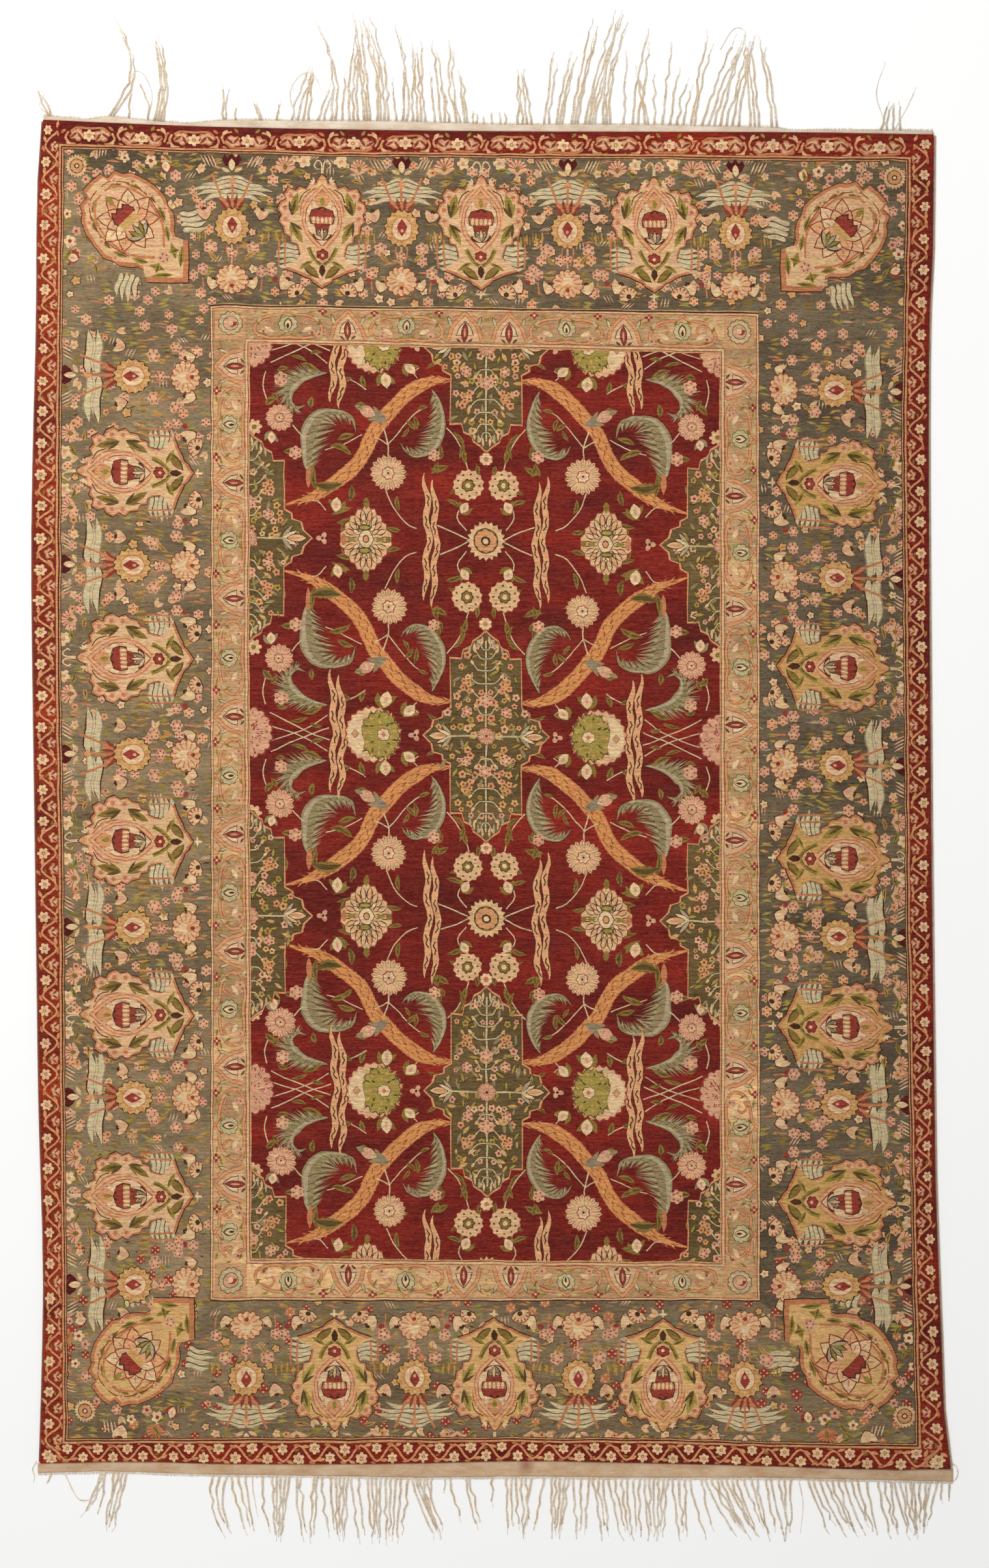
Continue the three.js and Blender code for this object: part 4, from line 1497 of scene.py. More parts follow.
def gold_flower(put, side_name):
    """The golden flower between two crowned palmettes, with all that stands on its axis."""
    along_side = side_name in ("left", "right")
    for x in (-9, 9):
        stem(put, [complex(x * 0.5, 66), complex(x, 84), complex(x * 0.6, 96)], 2.2, "coral", 3)
    stem(put, [56j, 76j, 100j], 3, "rose", 2)
    blossom(loosely(put, 76j), 8)
    if along_side:
        for turn in (0, 180):
            clouds(at(put, 178j, turn), 2, 78, 2, 13, 2.2, 8)
            clouds(at(put, 178j, turn), 6, 66, 1, 4, 2.2, 8)
    else:
        moustache(at(put, 177j), 60)
    for side in (-1, 1):
        stem(put, [complex(side * 13, 150), complex(side * 20, 172), complex(side * 31, 198)], 3.4, "coral", 3)
    for k in range(7):
        turn = (k - 3) * 13
        lay(at(put, 134j, 90 + turn), leaf(34, 6), "coral" if k % 2 else "brick")
    stem(put, [150j, 176j, 196j], 3.6, "coral", 2)
    lay(put, [z + 187j for z in (-7, -6j, 7, 6j)], "apricot")
    lay(put, [z + 119j for z in scallop(28, 30, lobes=16, depth=0.1, per=2)], "umber")
    lay(put, [z + 119j for z in scallop(27, 29, lobes=16, depth=0.14, per=2)], "gold_yarn")
    for n in range(14):
        along = cmath.rect(1, 2 * math.pi * (n + 0.5) / 14)
        lay(put, [119j + along * z for z in (17, 22 - 1.5j, 25, 22 + 1.5j)], "cream" if n % 2 else "coral")
    lay(put, [z + 118j for z in scallop(17, 19, lobes=10, depth=0.08)], "coral")
    lay(put, [z + 118j for z in oval(15, 17)], "ivory")
    for x in (-6, 6):
        lay(at(put, complex(x, 106), 90), leaf(15, 4), "rose")
    lay(put, [z + 120j for z in both_sides(((0, -13), (5, -5), (8, 2), (5, 7), (0, 14)))], "madder")
    lay(put, [z + 116j for z in oval(2.4, 3, 6)], "rose")
    for side in (-1, 1):
        claws(at(put, complex(side * 31, 208), 0, 1, flip=side < 0))
        blossom(loosely(put, complex(side * 32, 87)), 11)
        blossom(loosely(put, complex(side * 46, 52)), 9.5)
        stem(put, [complex(side * 44, 20), complex(side * 46, 40)], 2.4, "coral", 2)
        tulip(loosely(put, complex(side * 41, 128), side * -14), 10, "cream", "rose")
        tulip(loosely(put, complex(side * 32, 22), side * 14), 10, "cream", "ivory")
        floret(loosely(put, complex(side * 57, 160)), 6, "apricot", "brick", 5)
        floret(loosely(put, complex(side * 46, 206)), 7, "cream", "apricot", 5)
        grass(loosely(put, complex(side * 47, 96)), 4, "ochre")
        small_leaf(put, side * 20, 66, 90 - side * 40, 16, 5, "ochre", "olive")
    # the tulip at the outer end of the axis
    lay(put, [z + 217j for z in both_sides(((0, -10), (10, -4), (15, 4), (11, 12), (6, 7), (0, 14)))], "wine")
    lay(at(put, 204j, 90), leaf(19, 10), "ivory")
    for side in (-1, 1):
        lay(at(put, complex(side * 3, 202), 90 - side * 62), leaf(15, 6), "cream")
    # the cream flower at the inner end
    lay(put, [z + 38j for z in scallop(26, 24, lobes=14, depth=0.12)], "brick")
    lay(put, [z + 38j for z in scallop(24.5, 22.5, lobes=14, depth=0.16)], "cream")
    for n in range(13):
        along = cmath.rect(1, 2 * math.pi * n / 13)
        lay(put, [38j + along * z for z in (10 - 0.8j, 20 - 1.2j, 20 + 1.2j, 10 + 0.8j)], "coral")
    lay(at(put, 28j, 90), leaf(26, 15), "ivory")
    lay(put, [z + 33j for z in oval(6, 5)], "apricot")
    lay(put, [z + 28j for z in oval(3.5, 3.5, 7)], "madder")


CORNER_RIM = (
    (0, -132), (20, -113), (43, -89), (38, -80), (33, -75), (37, -64), (47, -56), (56, -44), (58, -32), (65, -20),
    (64, 2), (60, 22), (52, 40), (42, 48), (36, 60), (20, 60), (18, 72), (0, 74),
)  # fmt: skip


def corner_palmette(put, ground="cream"):
    """The palmette across a corner: a round head towards the rug's corner, +y, on a square foot."""
    rim = both_sides(CORNER_RIM)
    lay(put, [z * 1.05 for z in rim], "umber")
    lay(put, [z * 1.03 for z in rim], "coral")
    lay(put, [z * 0.95 for z in rim], ground)
    for side in (-1, 1):
        for x, y, turn, length in (
            (22, -72, 55, 26), (40, -46, 66, 26), (50, -18, 92, 28), (48, 14, 112, 28), (32, 40, 150, 22),
            (8, -112, 40, 34), (12, -98, 62, 26), (26, -92, 150, 18),
        ):  # fmt: skip
            spot = at(put, complex(side * x, y), 90 - side * (90 - turn))
            lay(spot, leaf(length, 9, 0, 3), "fern")
            lay(spot, leaf(length * 0.8, 3, 0, 2), "moss")
        line = [complex(side * x, y) for x, y in ((10, -74), (34, -46), (43, -10), (38, 24), (20, 46), (4, 50))]
        stem(put, line, 3.6, "coral", 3)
        stem(put, [z * 1.1 + 4j for z in line[1:]], 1.6, "brick", 3)
        for x, y in ((52, 0), (46, 32), (54, -32), (26, 52)):
            lay(at(put, complex(side * x, y)), scallop(6, lobes=5, depth=0.25, per=2), "pink")
            lay(at(put, complex(side * x, y)), oval(2.4, n=5), "coral")
    for reach, wide, turns in (
        (47, 23, (-168, -128, -88, -44, 0, 44, 88, 128, 168)),
        (33, 19, (-150, -108, -66, -22, 22, 66, 108, 150)),
    ):
        for n, turn in enumerate(turns):
            lay(at(put, -6j, 90 + turn), leaf(reach + 2.5, wide + 2.5, 0, 5), "brick")
            lay(at(put, -6j, 90 + turn), leaf(reach, wide, 0, 5), ("ivory", "peach", "cream")[n % 3])
            lay(at(put, -6j, 90 + turn), [z + 0.45 * reach for z in leaf(0.4 * reach, 2.4, 0, 2)], "coral")
    lay(put, both_sides(((0, 20), (6, 15), (11, 20), (17, 12), (20, 3), (18, -3), (0, -3))), "umber")
    lay(put, both_sides(((0, 17), (6, 12), (11, 17), (16, 10), (18, 3), (16, -2), (0, -2))), "madder")
    lay(put, both_sides(((0, -2), (17, -2), (14, -12), (0, -14))), "gold_yarn")
    for turn in (-52, -26, 0, 26, 52):
        lay(at(put, -42j, 90 + turn), leaf(28, 9, 0, 3), "umber")
        lay(at(put, -41j, 90 + turn), leaf(25, 6, 0, 3), "fern" if turn % 52 else "ash")
    blossom(at(put, -84j), 10)
    lay(at(put, 24j, 90), leaf(20, 9, 0, 3), "fern")


CORNER_FLOWERS = (
    # along the rim's direction, outwards from the head, size: each kind stands on both sides of the diagonal
    ("claws", 36, 92, 0),
    ("tulip", 58, 84, 11),
    ("cream", 88, 33, 10),
    ("bud", 98, 8, 10),
    ("coral", 100, 48, 15),
    ("cream", 62, 66, 8),
    ("pink", 70, 36, 8),
    ("blossom", 34, 70, 9),
    ("pink", 112, 26, 6),
)


def corner_flowers(put):
    """The loose flowers about a corner palmette, mirrored across the diagonal."""
    sunflower(at(put, 108j), 17)
    floret(at(put, 84j - 3), 7, "rose", "madder", 6)
    for side in (-1, 1):
        clouds(at(put, complex(side * 52, -62), -34 if side > 0 else 214), 4, 50, 4, 8.6)
        for kind, x, y, r in CORNER_FLOWERS:
            spot = loosely(put, complex(side * x, y), side * -30)
            if kind == "claws":
                claws(at(spot, 0, 0, 1, flip=side < 0))
            elif kind == "tulip":
                tulip(spot, r, "ivory", "cream")
            elif kind == "bud":
                bud(spot, r, "ivory", "madder")
            elif kind == "coral":
                carnation(spot, r, "coral", "brick")
            elif kind == "blossom":
                blossom(spot, r)
            else:
                floret(spot, r, "ivory" if kind == "cream" else "rose", "madder", 5)
        for n in range(5):
            small_leaf(put, side * hand.uniform(66, 108), hand.uniform(-20, 86), hand.uniform(0, 360), 15, 5, "fern")


BORDER_GROUNDS = {"top": "675740", "left": "826d50", "right": "675742", "bottom": "7c684c"}
DYES.update({f"ground_{side}": code for side, code in BORDER_GROUNDS.items()})
GROUND_ENDS = {
    "top": ((-654, 984), (644, 984), (418, 752), (-426, 752)),
    "bottom": ((-654, -988), (-426, -774), (418, -774), (644, -988)),
    "left": ((-654, 984), (-426, 752), (-426, -774), (-654, -988)),
    "right": ((644, 984), (644, -988), (418, -774), (418, 752)),
}
BORDER_FLOWERS = (
    # side, places of the crowned palmettes along it, places of the golden flowers
    ("top", (-254, -10, 256), (-392, -132, 123, 381)),
    ("bottom", (-237, 9, 268), (-372, -114, 138, 394)),
    ("left", (487, 203, -76, -341, -618), (634, 345, 56, -208, -467, -750)),
    ("right", (490, 207, -88, -347, -618), (634, 345, 56, -208, -467, -750)),
)
CORNERS = ((-556, 880, 45), (548, 880, -45), (-548, -866, 135), (550, -868, -135))
DASHES = [
    dash("moss", 13, 2.8),
    dash("moss", 13, 2.8),
    dash("smoke", 14, 3.2),
    dash("smoke", 14, 3.2),
    dash("ochre", 10, 2.8),
    dash("olive", 12, 3.0),
    dash("fern", 12, 3.0),
    dash("umber", 11, 2.4),
    dash("ash", 12, 2.6),
    dash("lime", 13, 3.0),
    dash("teal", 15, 3.4),
    dash("teal", 15, 3.4),
    dash("teal", 12, 2.6),
    dash("coral", 8, 2.4),
    dash("tan", 6, 3.4, False),
]


MEADOW_GAP = 17.0
HORNS = {"top": "fern", "bottom": "lime", "left": "olive", "right": "fern"}
SHIELDS = {"top": "cream", "bottom": "honey", "left": "cream", "right": "gold_yarn"}
LOWER_BORDER = -700


def small_plant(put):
    """One of the small plants of the ground: a blossom, a star, a tuft, a tulip, or a stroke of stem."""
    kind = hand.random()
    redder = put(0j).imag < LOWER_BORDER
    if kind < 0.3:
        r = hand.uniform(7.4, 10)
        petals = ("madder", "brick", "madder", "coral") if redder else ("pink", "rose", "pink", "peach")
        lay(put, scallop(r, lobes=6, depth=0.28, per=2), hand.choice(petals))
        for turn in (0, 90, 180, 270):
            seed = cmath.rect(0.5 * r, math.radians(turn))
            lay(at(put, seed), oval(1.7, 1.7, 4), "cream" if redder else "madder")
    elif kind < 0.4:
        r = hand.uniform(6, 8.4)
        lay(put, scallop(r + 1.4, lobes=5, depth=0.3, per=2), "umber")
        lay(put, scallop(r, lobes=5, depth=0.35, per=2), hand.choice(("ivory", "cream", "gold_yarn")))
        lay(put, oval(0.35 * r, n=5), "apricot")
    elif kind < 0.68:
        colour = hand.choice(("lime", "fern", "ochre", "lime", "olive"))
        for n in range(3):
            lay(at(put, complex(hand.uniform(-9, 0), 5 * (n - 1)), hand.uniform(-24, 24)), leaf(18, 4.6, 0, 2), colour)
    elif kind < 0.82:
        lay(at(put, 0, hand.uniform(-14, 14)), [z - 12 for z in leaf(25, 3.4, 1.5, 2)], "coral")
        lay(at(put, 2 + 6j, hand.uniform(-14, 14)), leaf(12, 4, 0, 2), "ochre")
    elif kind < 0.92:
        turn = hand.uniform(20, 160)
        for n in range(3):
            lay(at(put, complex(5 * (n - 1), 0), turn), leaf(15, 2.2, 0, 2), "cloud" if n % 2 else "rose")
    else:
        turn = hand.uniform(0, 360)
        for side in (-1, 1):
            lay(at(put, 0, turn + side * 22), leaf(15, 6.5, 0, 3), "cream")
        lay(at(put, 0, turn), leaf(11, 3.4, 0, 2), "apricot")


def meadow(count, inner, outer, kept):
    """The many small plants of a border's ground, a little apart, and none on a greater flower."""
    taken = {}
    for _ in range(count * 9):
        z = ring_spot(inner, outer)
        cell = (int(z.real // MEADOW_GAP), int(z.imag // MEADOW_GAP))
        near = [taken.get((cell[0] + a, cell[1] + b)) for a in (-1, 0, 1) for b in (-1, 0, 1)]
        if clear_of(z, kept) and all(other is None or abs(z - other) > MEADOW_GAP for other in near):
            taken[cell] = z
            small_plant(at(sheet_put, z))


def main_border_chart():
    for side, ends in GROUND_ENDS.items():
        lay(sheet_put, [complex(x, y) for x, y in ends], f"ground_{side}", 1.0)
    kept = []
    for x, y, turn in CORNERS:
        kept.append((complex(x, y), 62))
        kept.append((at(sheet_put, complex(x, y), turn)(-84j), 34))
    for side, crowns, golds in BORDER_FLOWERS:
        put = side_put(side)("main")
        kept += [(put(place + 125j), 64) for place in crowns]
        kept += [(put(place + 66j), 32) for place in crowns]
        kept += [(put(place + 119j), 30) for place in golds]
        kept += [(put(place + 38j), 24) for place in golds]
    ring_speckle(2000, MAIN_BOX, GUARD_BOX, DASHES, kept)
    meadow(1500, MAIN_BOX, GUARD_BOX, kept)
    for x, y, turn in CORNERS:
        corner_flowers(at(sheet_put, complex(x, y), turn))
    for side, crowns, golds in BORDER_FLOWERS:
        put = side_put(side)("main")
        for place in golds:
            gold_flower(at(put, place + 0j), side)
        for place in crowns:
            crown_surround(at(put, complex(place, 29)), side)
        for place in crowns:
            crown_palmette(at(put, complex(place, 29)), SHIELDS[side], HORNS[side])
    for x, y, turn in CORNERS:
        corner_palmette(at(sheet_put, complex(x, y), turn), "cream" if y > 0 else "honey")
    frame_lines("outer", ((-3, -1.6, "umber"), (-1.6, 0.5, "apricot")))


def half_ring(outer, inner, upper, cut):
    """Half of a border as one outline, above or below a level cut."""
    (x0, y0, x1, y1), (a0, b0, a1, b1) = outer, inner
    if upper:
        bends = [(x0, cut), (a0, cut), (a0, b1), (a1, b1), (a1, cut), (x1, cut), (x1, y1), (x0, y1)]
    else:
        bends = [(x0, y0), (x1, y0), (x1, cut), (a1, cut), (a1, b0), (a0, b0), (a0, cut), (x0, cut)]
    made = []
    for (ax, ay), (bx, by) in zip(bends, bends[1:] + bends[:1]):
        n = max(1, round(math.hypot(bx - ax, by - ay) / 22))
        made += [complex(ax + (bx - ax) * k / n, ay + (by - ay) * k / n) for k in range(n)]
    return made


BORDER_CUT = 24
main_border_chart()
whole_border = list(chart)
for part, upper in (("upper", True), ("lower", False)):
    chart[:] = whole_border
    ring_part = half_ring(GUARD_BOX, MAIN_BOX, upper, BORDER_CUT)
    pile_piece(inlay(f"pile_main_border_{part}", "slate", ring_part, keep=upper))

# Silk pile, outer guard
# The dark red guard stripe along the rug's rim, with cream flowers and orange tulips on a
# scroll. At the rim the pile is clipped round and rolls down to the side cords and the ends.


def wing(put, r=12):
    """A curling pair of tan leaves on an orange stem, that opens along +y."""
    lay(put, scallop(r, 0.86 * r, lobes=5, depth=0.3), "coral")
    lay(put, scallop(0.8 * r, 0.66 * r, lobes=5, depth=0.34), "tan")
    for side in (-1, 1):
        lay(at(put, -0.3j * r, 90 - side * 42), leaf(1.1 * r, 0.34 * r, 0, 3), "brick")


def guard_scroll(put, start, end, count, amplitude=9):
    """The orange scroll that runs along the guard, waving between its two edges."""
    wave = []
    for k in range(count + 1):
        wave.append(complex(start + (end - start) * k / count, 20 + (amplitude if k % 2 else -amplitude)))
    line = spline(wave, 5)
    lay(put, ribbon(line, 1.9), "brick")
    lay(put, ribbon(line, 1.5), "apricot")


def guard_groups(side, start, end, step):
    """The upper guard: flowers between two wings, by turns at one edge and at the other."""
    put = side_put(side)("outer")
    count = max(2, round((end - start) / step))
    for k in range(count):
        place = start + (end - start) * (k + 0.5) / count
        way = 1 if k % 2 else -1
        here = at(put, complex(place, 20), 0 if way > 0 else 180)
        for x in (-20, 20):
            wing(loosely(here, complex(x, -2), -x * 0.5), 14)
        stem(here, [complex(x, y) for x, y in ((-30, -6), (-20, -13), (0, -12), (20, -13), (30, -6))], 3.4, "coral", 3)
        for x in (-38, 38):
            stem(here, [complex(x * 0.9, -6), complex(x, 4), complex(x * 0.84, 12), complex(x * 0.6, 14)], 3.4, "apricot", 3)
            lay(at(here, complex(x * 0.98, 8), 90 + x), leaf(13, 6, 0, 3), "cream")
            lay(at(here, complex(x * 0.98, -10), x), leaf(11, 5, 0, 3), "coral")
            lay(at(here, complex(x * 0.34, 12), 90 - x), leaf(11, 5, 0, 3), "fern")
        floret(loosely(here, 0), 11, "ivory", "tan", 6)
        floret(loosely(here, 0), 4, "coral", "ivory", 5)


def guard_row(side, start, end, step):
    """The other guards: flowers by turns at one edge and at the other, with a tulip between each two."""
    put = side_put(side)("outer")
    count = max(2, round((end - start) / step))
    guard_scroll(put, start, end, count, 11)
    for k in range(count + 1):
        place = start + (end - start) * k / count
        way = 1 if k % 2 else -1
        spot = loosely(put, complex(place, 20 - way * 7))
        if k % 2 == 0 or side == "bottom":
            floret(spot, 9, "ivory", "tan", 6)
            floret(spot, 3.4, "coral", "ivory", 5)
        else:
            wing(at(spot, 0, 0 if way < 0 else 180), 9.5)
        lay(at(put, complex(place + 5, 20 + way * 10), hand.uniform(-40, 40)), leaf(12, 5), "apricot")
        lay(at(put, complex(place - 9, 20 + way * 12), hand.uniform(-40, 40)), leaf(11, 4.5), "coral")
        if k % 3 == 1:
            lay(at(put, complex(place - 6, 20 + way * 4), hand.uniform(-30, 30)), leaf(8, 3.6), "olive")


def guard_chart():
    for side, ends in (("left", "guard_left"), ("right", "wine_guard")):
        x0, x1 = (SQUARE_X[0], SQUARE_X[1]) if side == "left" else (SQUARE_X[6], SQUARE_X[7])
        lay(sheet_put, box_of(x0 - 1, SQUARE_Y[1], x1 + 1, SQUARE_Y[6]), ends, 1.0)
    guard_groups("top", -652, 642, 80)
    guard_row("bottom", -676, 668, 24)
    guard_row("left", -1010, 1010, 24)
    guard_row("right", -1010, 1010, 24)
    frame_lines("outer", ((0.5, 2.2, "umber"), (2.2, 5, "apricot"), (5, 6, "brick")))


guard_chart()
x0, y0, x1, y1 = RIM_BOX
roll = RIM_STEPS[-1][0]
clipped_box = box_of(x0 + roll, y0 + roll, x1 - roll, y1 - roll, 12)
pile_piece(inlay("pile_outer_guard", "wine_guard", clipped_box, box_of(*GUARD_BOX), rim=True))

# Foundation cloth
# Cotton warps and wefts that hold every knot, one sheet from side to side. Seen from below it
# shows the backs of the knots, with the pattern in short ridges. It is cut and pulled with the pile.
BACK_HEIGHT = 0.0004
FOUNDATION_INSET = 0.0011

back_shapes = [shape for shape in back_chart if abs(area(shape[0])) > 2400]
chart.extend(back_shapes)
foundation = inlay("rug_foundation", "wine_guard", box_of(*RIM_BOX, 24), grid=60)
co = np.zeros(len(foundation.data.vertices) * 3)
foundation.data.vertices.foreach_get("co", co)
co = co.reshape(-1, 3)
middle_of = co[:, :2].mean(0)
reach = np.abs(co[:, :2] - middle_of).max(0)
co[:, :2] -= (co[:, :2] - middle_of) / reach * FOUNDATION_INSET
co[:, 2] = BACK_HEIGHT
foundation.data.vertices.foreach_set("co", co.ravel())
foundation.data.flip_normals()
thickened = bmesh.new()
thickened.from_mesh(foundation.data)
rim_edges = [e for e in thickened.edges if e.is_boundary]
wall = bmesh.ops.extrude_edge_only(thickened, edges=rim_edges)
risen = [v for v in wall["geom"] if isinstance(v, bmesh.types.BMVert)]
for v in risen:
    v.co.z = FOUNDATION_TOP
lid_edges = [e for e in wall["geom"] if isinstance(e, bmesh.types.BMEdge)]
bmesh.ops.triangle_fill(thickened, edges=lid_edges, use_beauty=False)
bmesh.ops.recalc_face_normals(thickened, faces=thickened.faces)
thickened.to_mesh(foundation.data)
thickened.free()
foundation.data.uv_layers.remove(foundation.data.uv_layers["OFBake"])
plan_uv(foundation.data)


def knotted_back():
    """The knots' backs: the pile's dyes, drier and paler, in level ridges one weft apart, darkened in the hollows
    between the ridges as painted shade.
    """
    made = bpy.data.materials.new("knotted_back")
    made.use_nodes = True
    tree = made.node_tree
    shader = tree.nodes["Principled BSDF"]
    shader.inputs["Specular IOR Level"].default_value = 0.15
    shader.inputs["Roughness"].default_value = 0.9
    chart_dye = add(tree, "VertexColor", layer_name="dye")
    aged_and_lit = add(tree, "Group", {"Streaks": 0.1, "Knots": 0.25}, node_tree=aged_dye_and_painted_light)
    tree.links.new(chart_dye.outputs["Color"], aged_and_lit.inputs["Color"])
    weft = add(tree, "TexWave", {"Scale": 180.0, "Distortion": 0.4}, bands_direction="Y")
    place = add(tree, "TexCoord")
    tree.links.new(place.outputs["Object"], weft.inputs["Vector"])
    # Painted shade: the hollows between the weft ridges are darkened where the bump is low.
    ridge_shaded = blended(tree, "MULTIPLY", 0.35, aged_and_lit.outputs["Color"], weft.outputs["Color"])
    pale = blended(tree, "MIX", 0.12, ridge_shaded, (0.6, 0.5, 0.4, 1))
    finished(tree, shader, pale, weft.outputs["Fac"], 0.5, 0.0004)
    return made


foundation.data.materials.clear()
foundation.data.materials.append(knotted_back())
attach(foundation, "root")
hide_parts("rug_pile")

# Side cords
# The outermost warps of each side, overcast turn by turn with silk yarn: thin and faded rose on
# the left, thicker and beige on the right. The yarn's turns show as close slanting ridges.
CORD_GAP = 0.0003
CORD_TURN = 0.0021
CORD_SIZES = {"left": (0.0020, 0.0020), "right": (0.0030, 0.0026)}
CORD_YARNS = {"left": ("9c6a55", "b98a72"), "right": ("c3a07e", "d8bd9d")}


def overcast_cord(side):
    """The cord down one side, a bundle wound with yarn."""
    width, thick = CORD_SIZES[side]
    way = -1 if side == "left" else 1
    rim = (left_rim if side == "left" else right_rim) * KNOT
    ys = np.arange(rim[0, 1] + 0.0012, rim[-1, 1] - 0.001, CORD_TURN / 2)
    xs = np.interp(ys, rim[:, 1], rim[:, 0]) + way * (CORD_GAP + width / 2)
    around = 6
    verts = []
    groove_shade = []
    for k, (x, y) in enumerate(zip(xs, ys)):
        swell = 1.0 if k % 2 else 0.8
        swell *= 1 + 0.1 * noise.noise(Vector((0, y * 90, way)))
        for n in range(around):
            a = 2 * math.pi * n / around
            out = math.cos(a) * 0.5 * width * swell
            up = thick * 0.5 * (1 + math.sin(a) * swell)
            slant = 0.0007 * math.cos(a)
            verts.append((x + way * out, y + slant, up))
            # Painted shade: the narrow ring in each groove between turns is darkened to 0.35.
            groove_shade.append(0.35 + 0.65 * (k % 2))
    faces = []
    for k in range(len(ys) - 1):
        for n in range(around):
            a, b = k * around + n, k * around + (n + 1) % around
            faces.append((a, b, b + around, a + around) if way > 0 else (b, a, a + around, b + around))
    first = tuple(range(around))
    last = tuple(range((len(ys) - 1) * around, len(ys) * around))
    faces.append(first[::-1] if way > 0 else first)
    faces.append(last if way > 0 else last[::-1])
    mesh = bpy.data.meshes.new(f"{side}_overcast_cord")
    mesh.from_pydata(verts, [], faces)
    mesh.validate()
    mesh.shade_smooth()
    shade = mesh.color_attributes.new("turns", "FLOAT_COLOR", "POINT")
    shade.data.foreach_set("color", np.repeat(np.array(groove_shade, np.float32), 4))
    made = bpy.data.objects.new(f"{side}_overcast_cord", mesh)
    scene.collection.objects.link(made)
    return made


def yarn_tones(codes):
    return [tuple((int(code[k : k + 2], 16) / 255) ** 2.2 for k in (0, 2, 4)) + (1,) for code in codes]


def cord_yarn(side):
    """Silk overcasting yarn, two tones that change along the cord, with painted shade that darkens it between its
    turns.
    """
    made = bpy.data.materials.new(f"{side}_cord_yarn")
    made.use_nodes = True
    tree = made.node_tree
    shader = tree.nodes["Principled BSDF"]
    shader.inputs["Roughness"].default_value = 0.75
    shader.inputs["Specular IOR Level"].default_value = 0.2
    dark, pale = yarn_tones(CORD_YARNS[side])
    worn = stretched_noise(tree, (60.0, 34.0, 1.0), 3.0, 0.6)
    colour = blended(tree, "MIX", ranged(tree, worn, 0.35, 0.65), dark, pale)
    turns = add(tree, "VertexColor", layer_name="turns")
    shaded = blended(tree, "MULTIPLY", 0.45, colour, turns.outputs["Color"])
    aged_and_lit = add(tree, "Group", {"Color": shaded, "Streaks": 0.1, "Knots": 0.14, "Tints": 0.05}, node_tree=aged_dye_and_painted_light)
    finished(tree, shader, aged_and_lit.outputs["Color"], aged_and_lit.outputs["Height"], 0.3, 0.0003)
    return made


for side in ("left", "right"):
    cord = overcast_cord(side)
    cord.data.materials.append(cord_yarn(side))
    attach(cord, "root")
    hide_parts(f"{side}_side_cord")

# Upper end band
# The flatwoven finish beyond the pile at the upper end: a few centimetres of plain weave turned
# and worn back to a narrow cream strip.
BAND_HEIGHT = 0.0018
ROOT_STRIP = 0.0023


def node_line(node, end, steps=240):
    """A strip's near and far edges, as y at evenly spaced x. end is 1 at the upper end, -1 at the lower."""
    ring = rim_of(node, 0.3, 0.9)
    middle = np.interp(ring[:, 0], upper_rim[:, 0] * KNOT, upper_rim[:, 1] * KNOT) if end > 0 else np.interp(
        ring[:, 0], lower_rim[:, 0] * KNOT, lower_rim[:, 1] * KNOT
    )
    away = end * (ring[:, 1] - middle)
    xs = np.linspace(ring[:, 0].min() + 0.0003, ring[:, 0].max() - 0.0003, steps)
    near = ring[away < 0.0012]
    far = ring[away >= 0.0012]
    near = near[np.argsort(near[:, 0])]
    far = far[np.argsort(far[:, 0])]
    return xs, np.interp(xs, near[:, 0], near[:, 1]), np.interp(xs, far[:, 0], far[:, 1])


def woven_strip(name, node, end, height, rows=6, ripple=0.0002):
    """A strip of cloth between its two edges, thicker than it is high at the rims, and slightly rippled."""
    xs, near, far = node_line(node, end, 400)
    verts = []
    faces = []
    loop = rows + 4
    for k, (x, y0, y1) in enumerate(zip(xs, near, far)):
        ragged = end * 0.0006 * noise.noise(Vector((x * 260, end, 0)))
        y1 = y1 + min(ragged, 0.0003) if end > 0 else y1 + max(ragged, -0.0003)
        section = [(0.0, 0.15), (0.0, 0.75)]
        section += [((n + 0.5) / rows, 1.0) for n in range(rows)]
        section += [(1.0, 0.75), (1.0, 0.15)]
        for share, level in section:
            y = y0 + (y1 - y0) * share
            rise = ripple * noise.noise(Vector((x * 120, y * 300, 2)))
            verts.append((x, y, max(0.0001, height * level + (rise if level > 0.9 else 0))))
    for k in range(len(xs) - 1):
        for n in range(loop):
            a, b = k * loop + n, k * loop + (n + 1) % loop
            quad = (a, b, b + loop, a + loop)
            faces.append(quad if end < 0 else quad[::-1])
    ends = tuple(range(loop))
    tail = tuple(range((len(xs) - 1) * loop, len(xs) * loop))
    faces.append(ends[::-1] if end < 0 else ends)
    faces.append(tail if end < 0 else tail[::-1])
    mesh = bpy.data.meshes.new(name)
    mesh.from_pydata(verts, [], faces)
    mesh.shade_smooth()
    made = bpy.data.objects.new(name, mesh)
    scene.collection.objects.link(made)
    plan_uv(mesh)
    return made


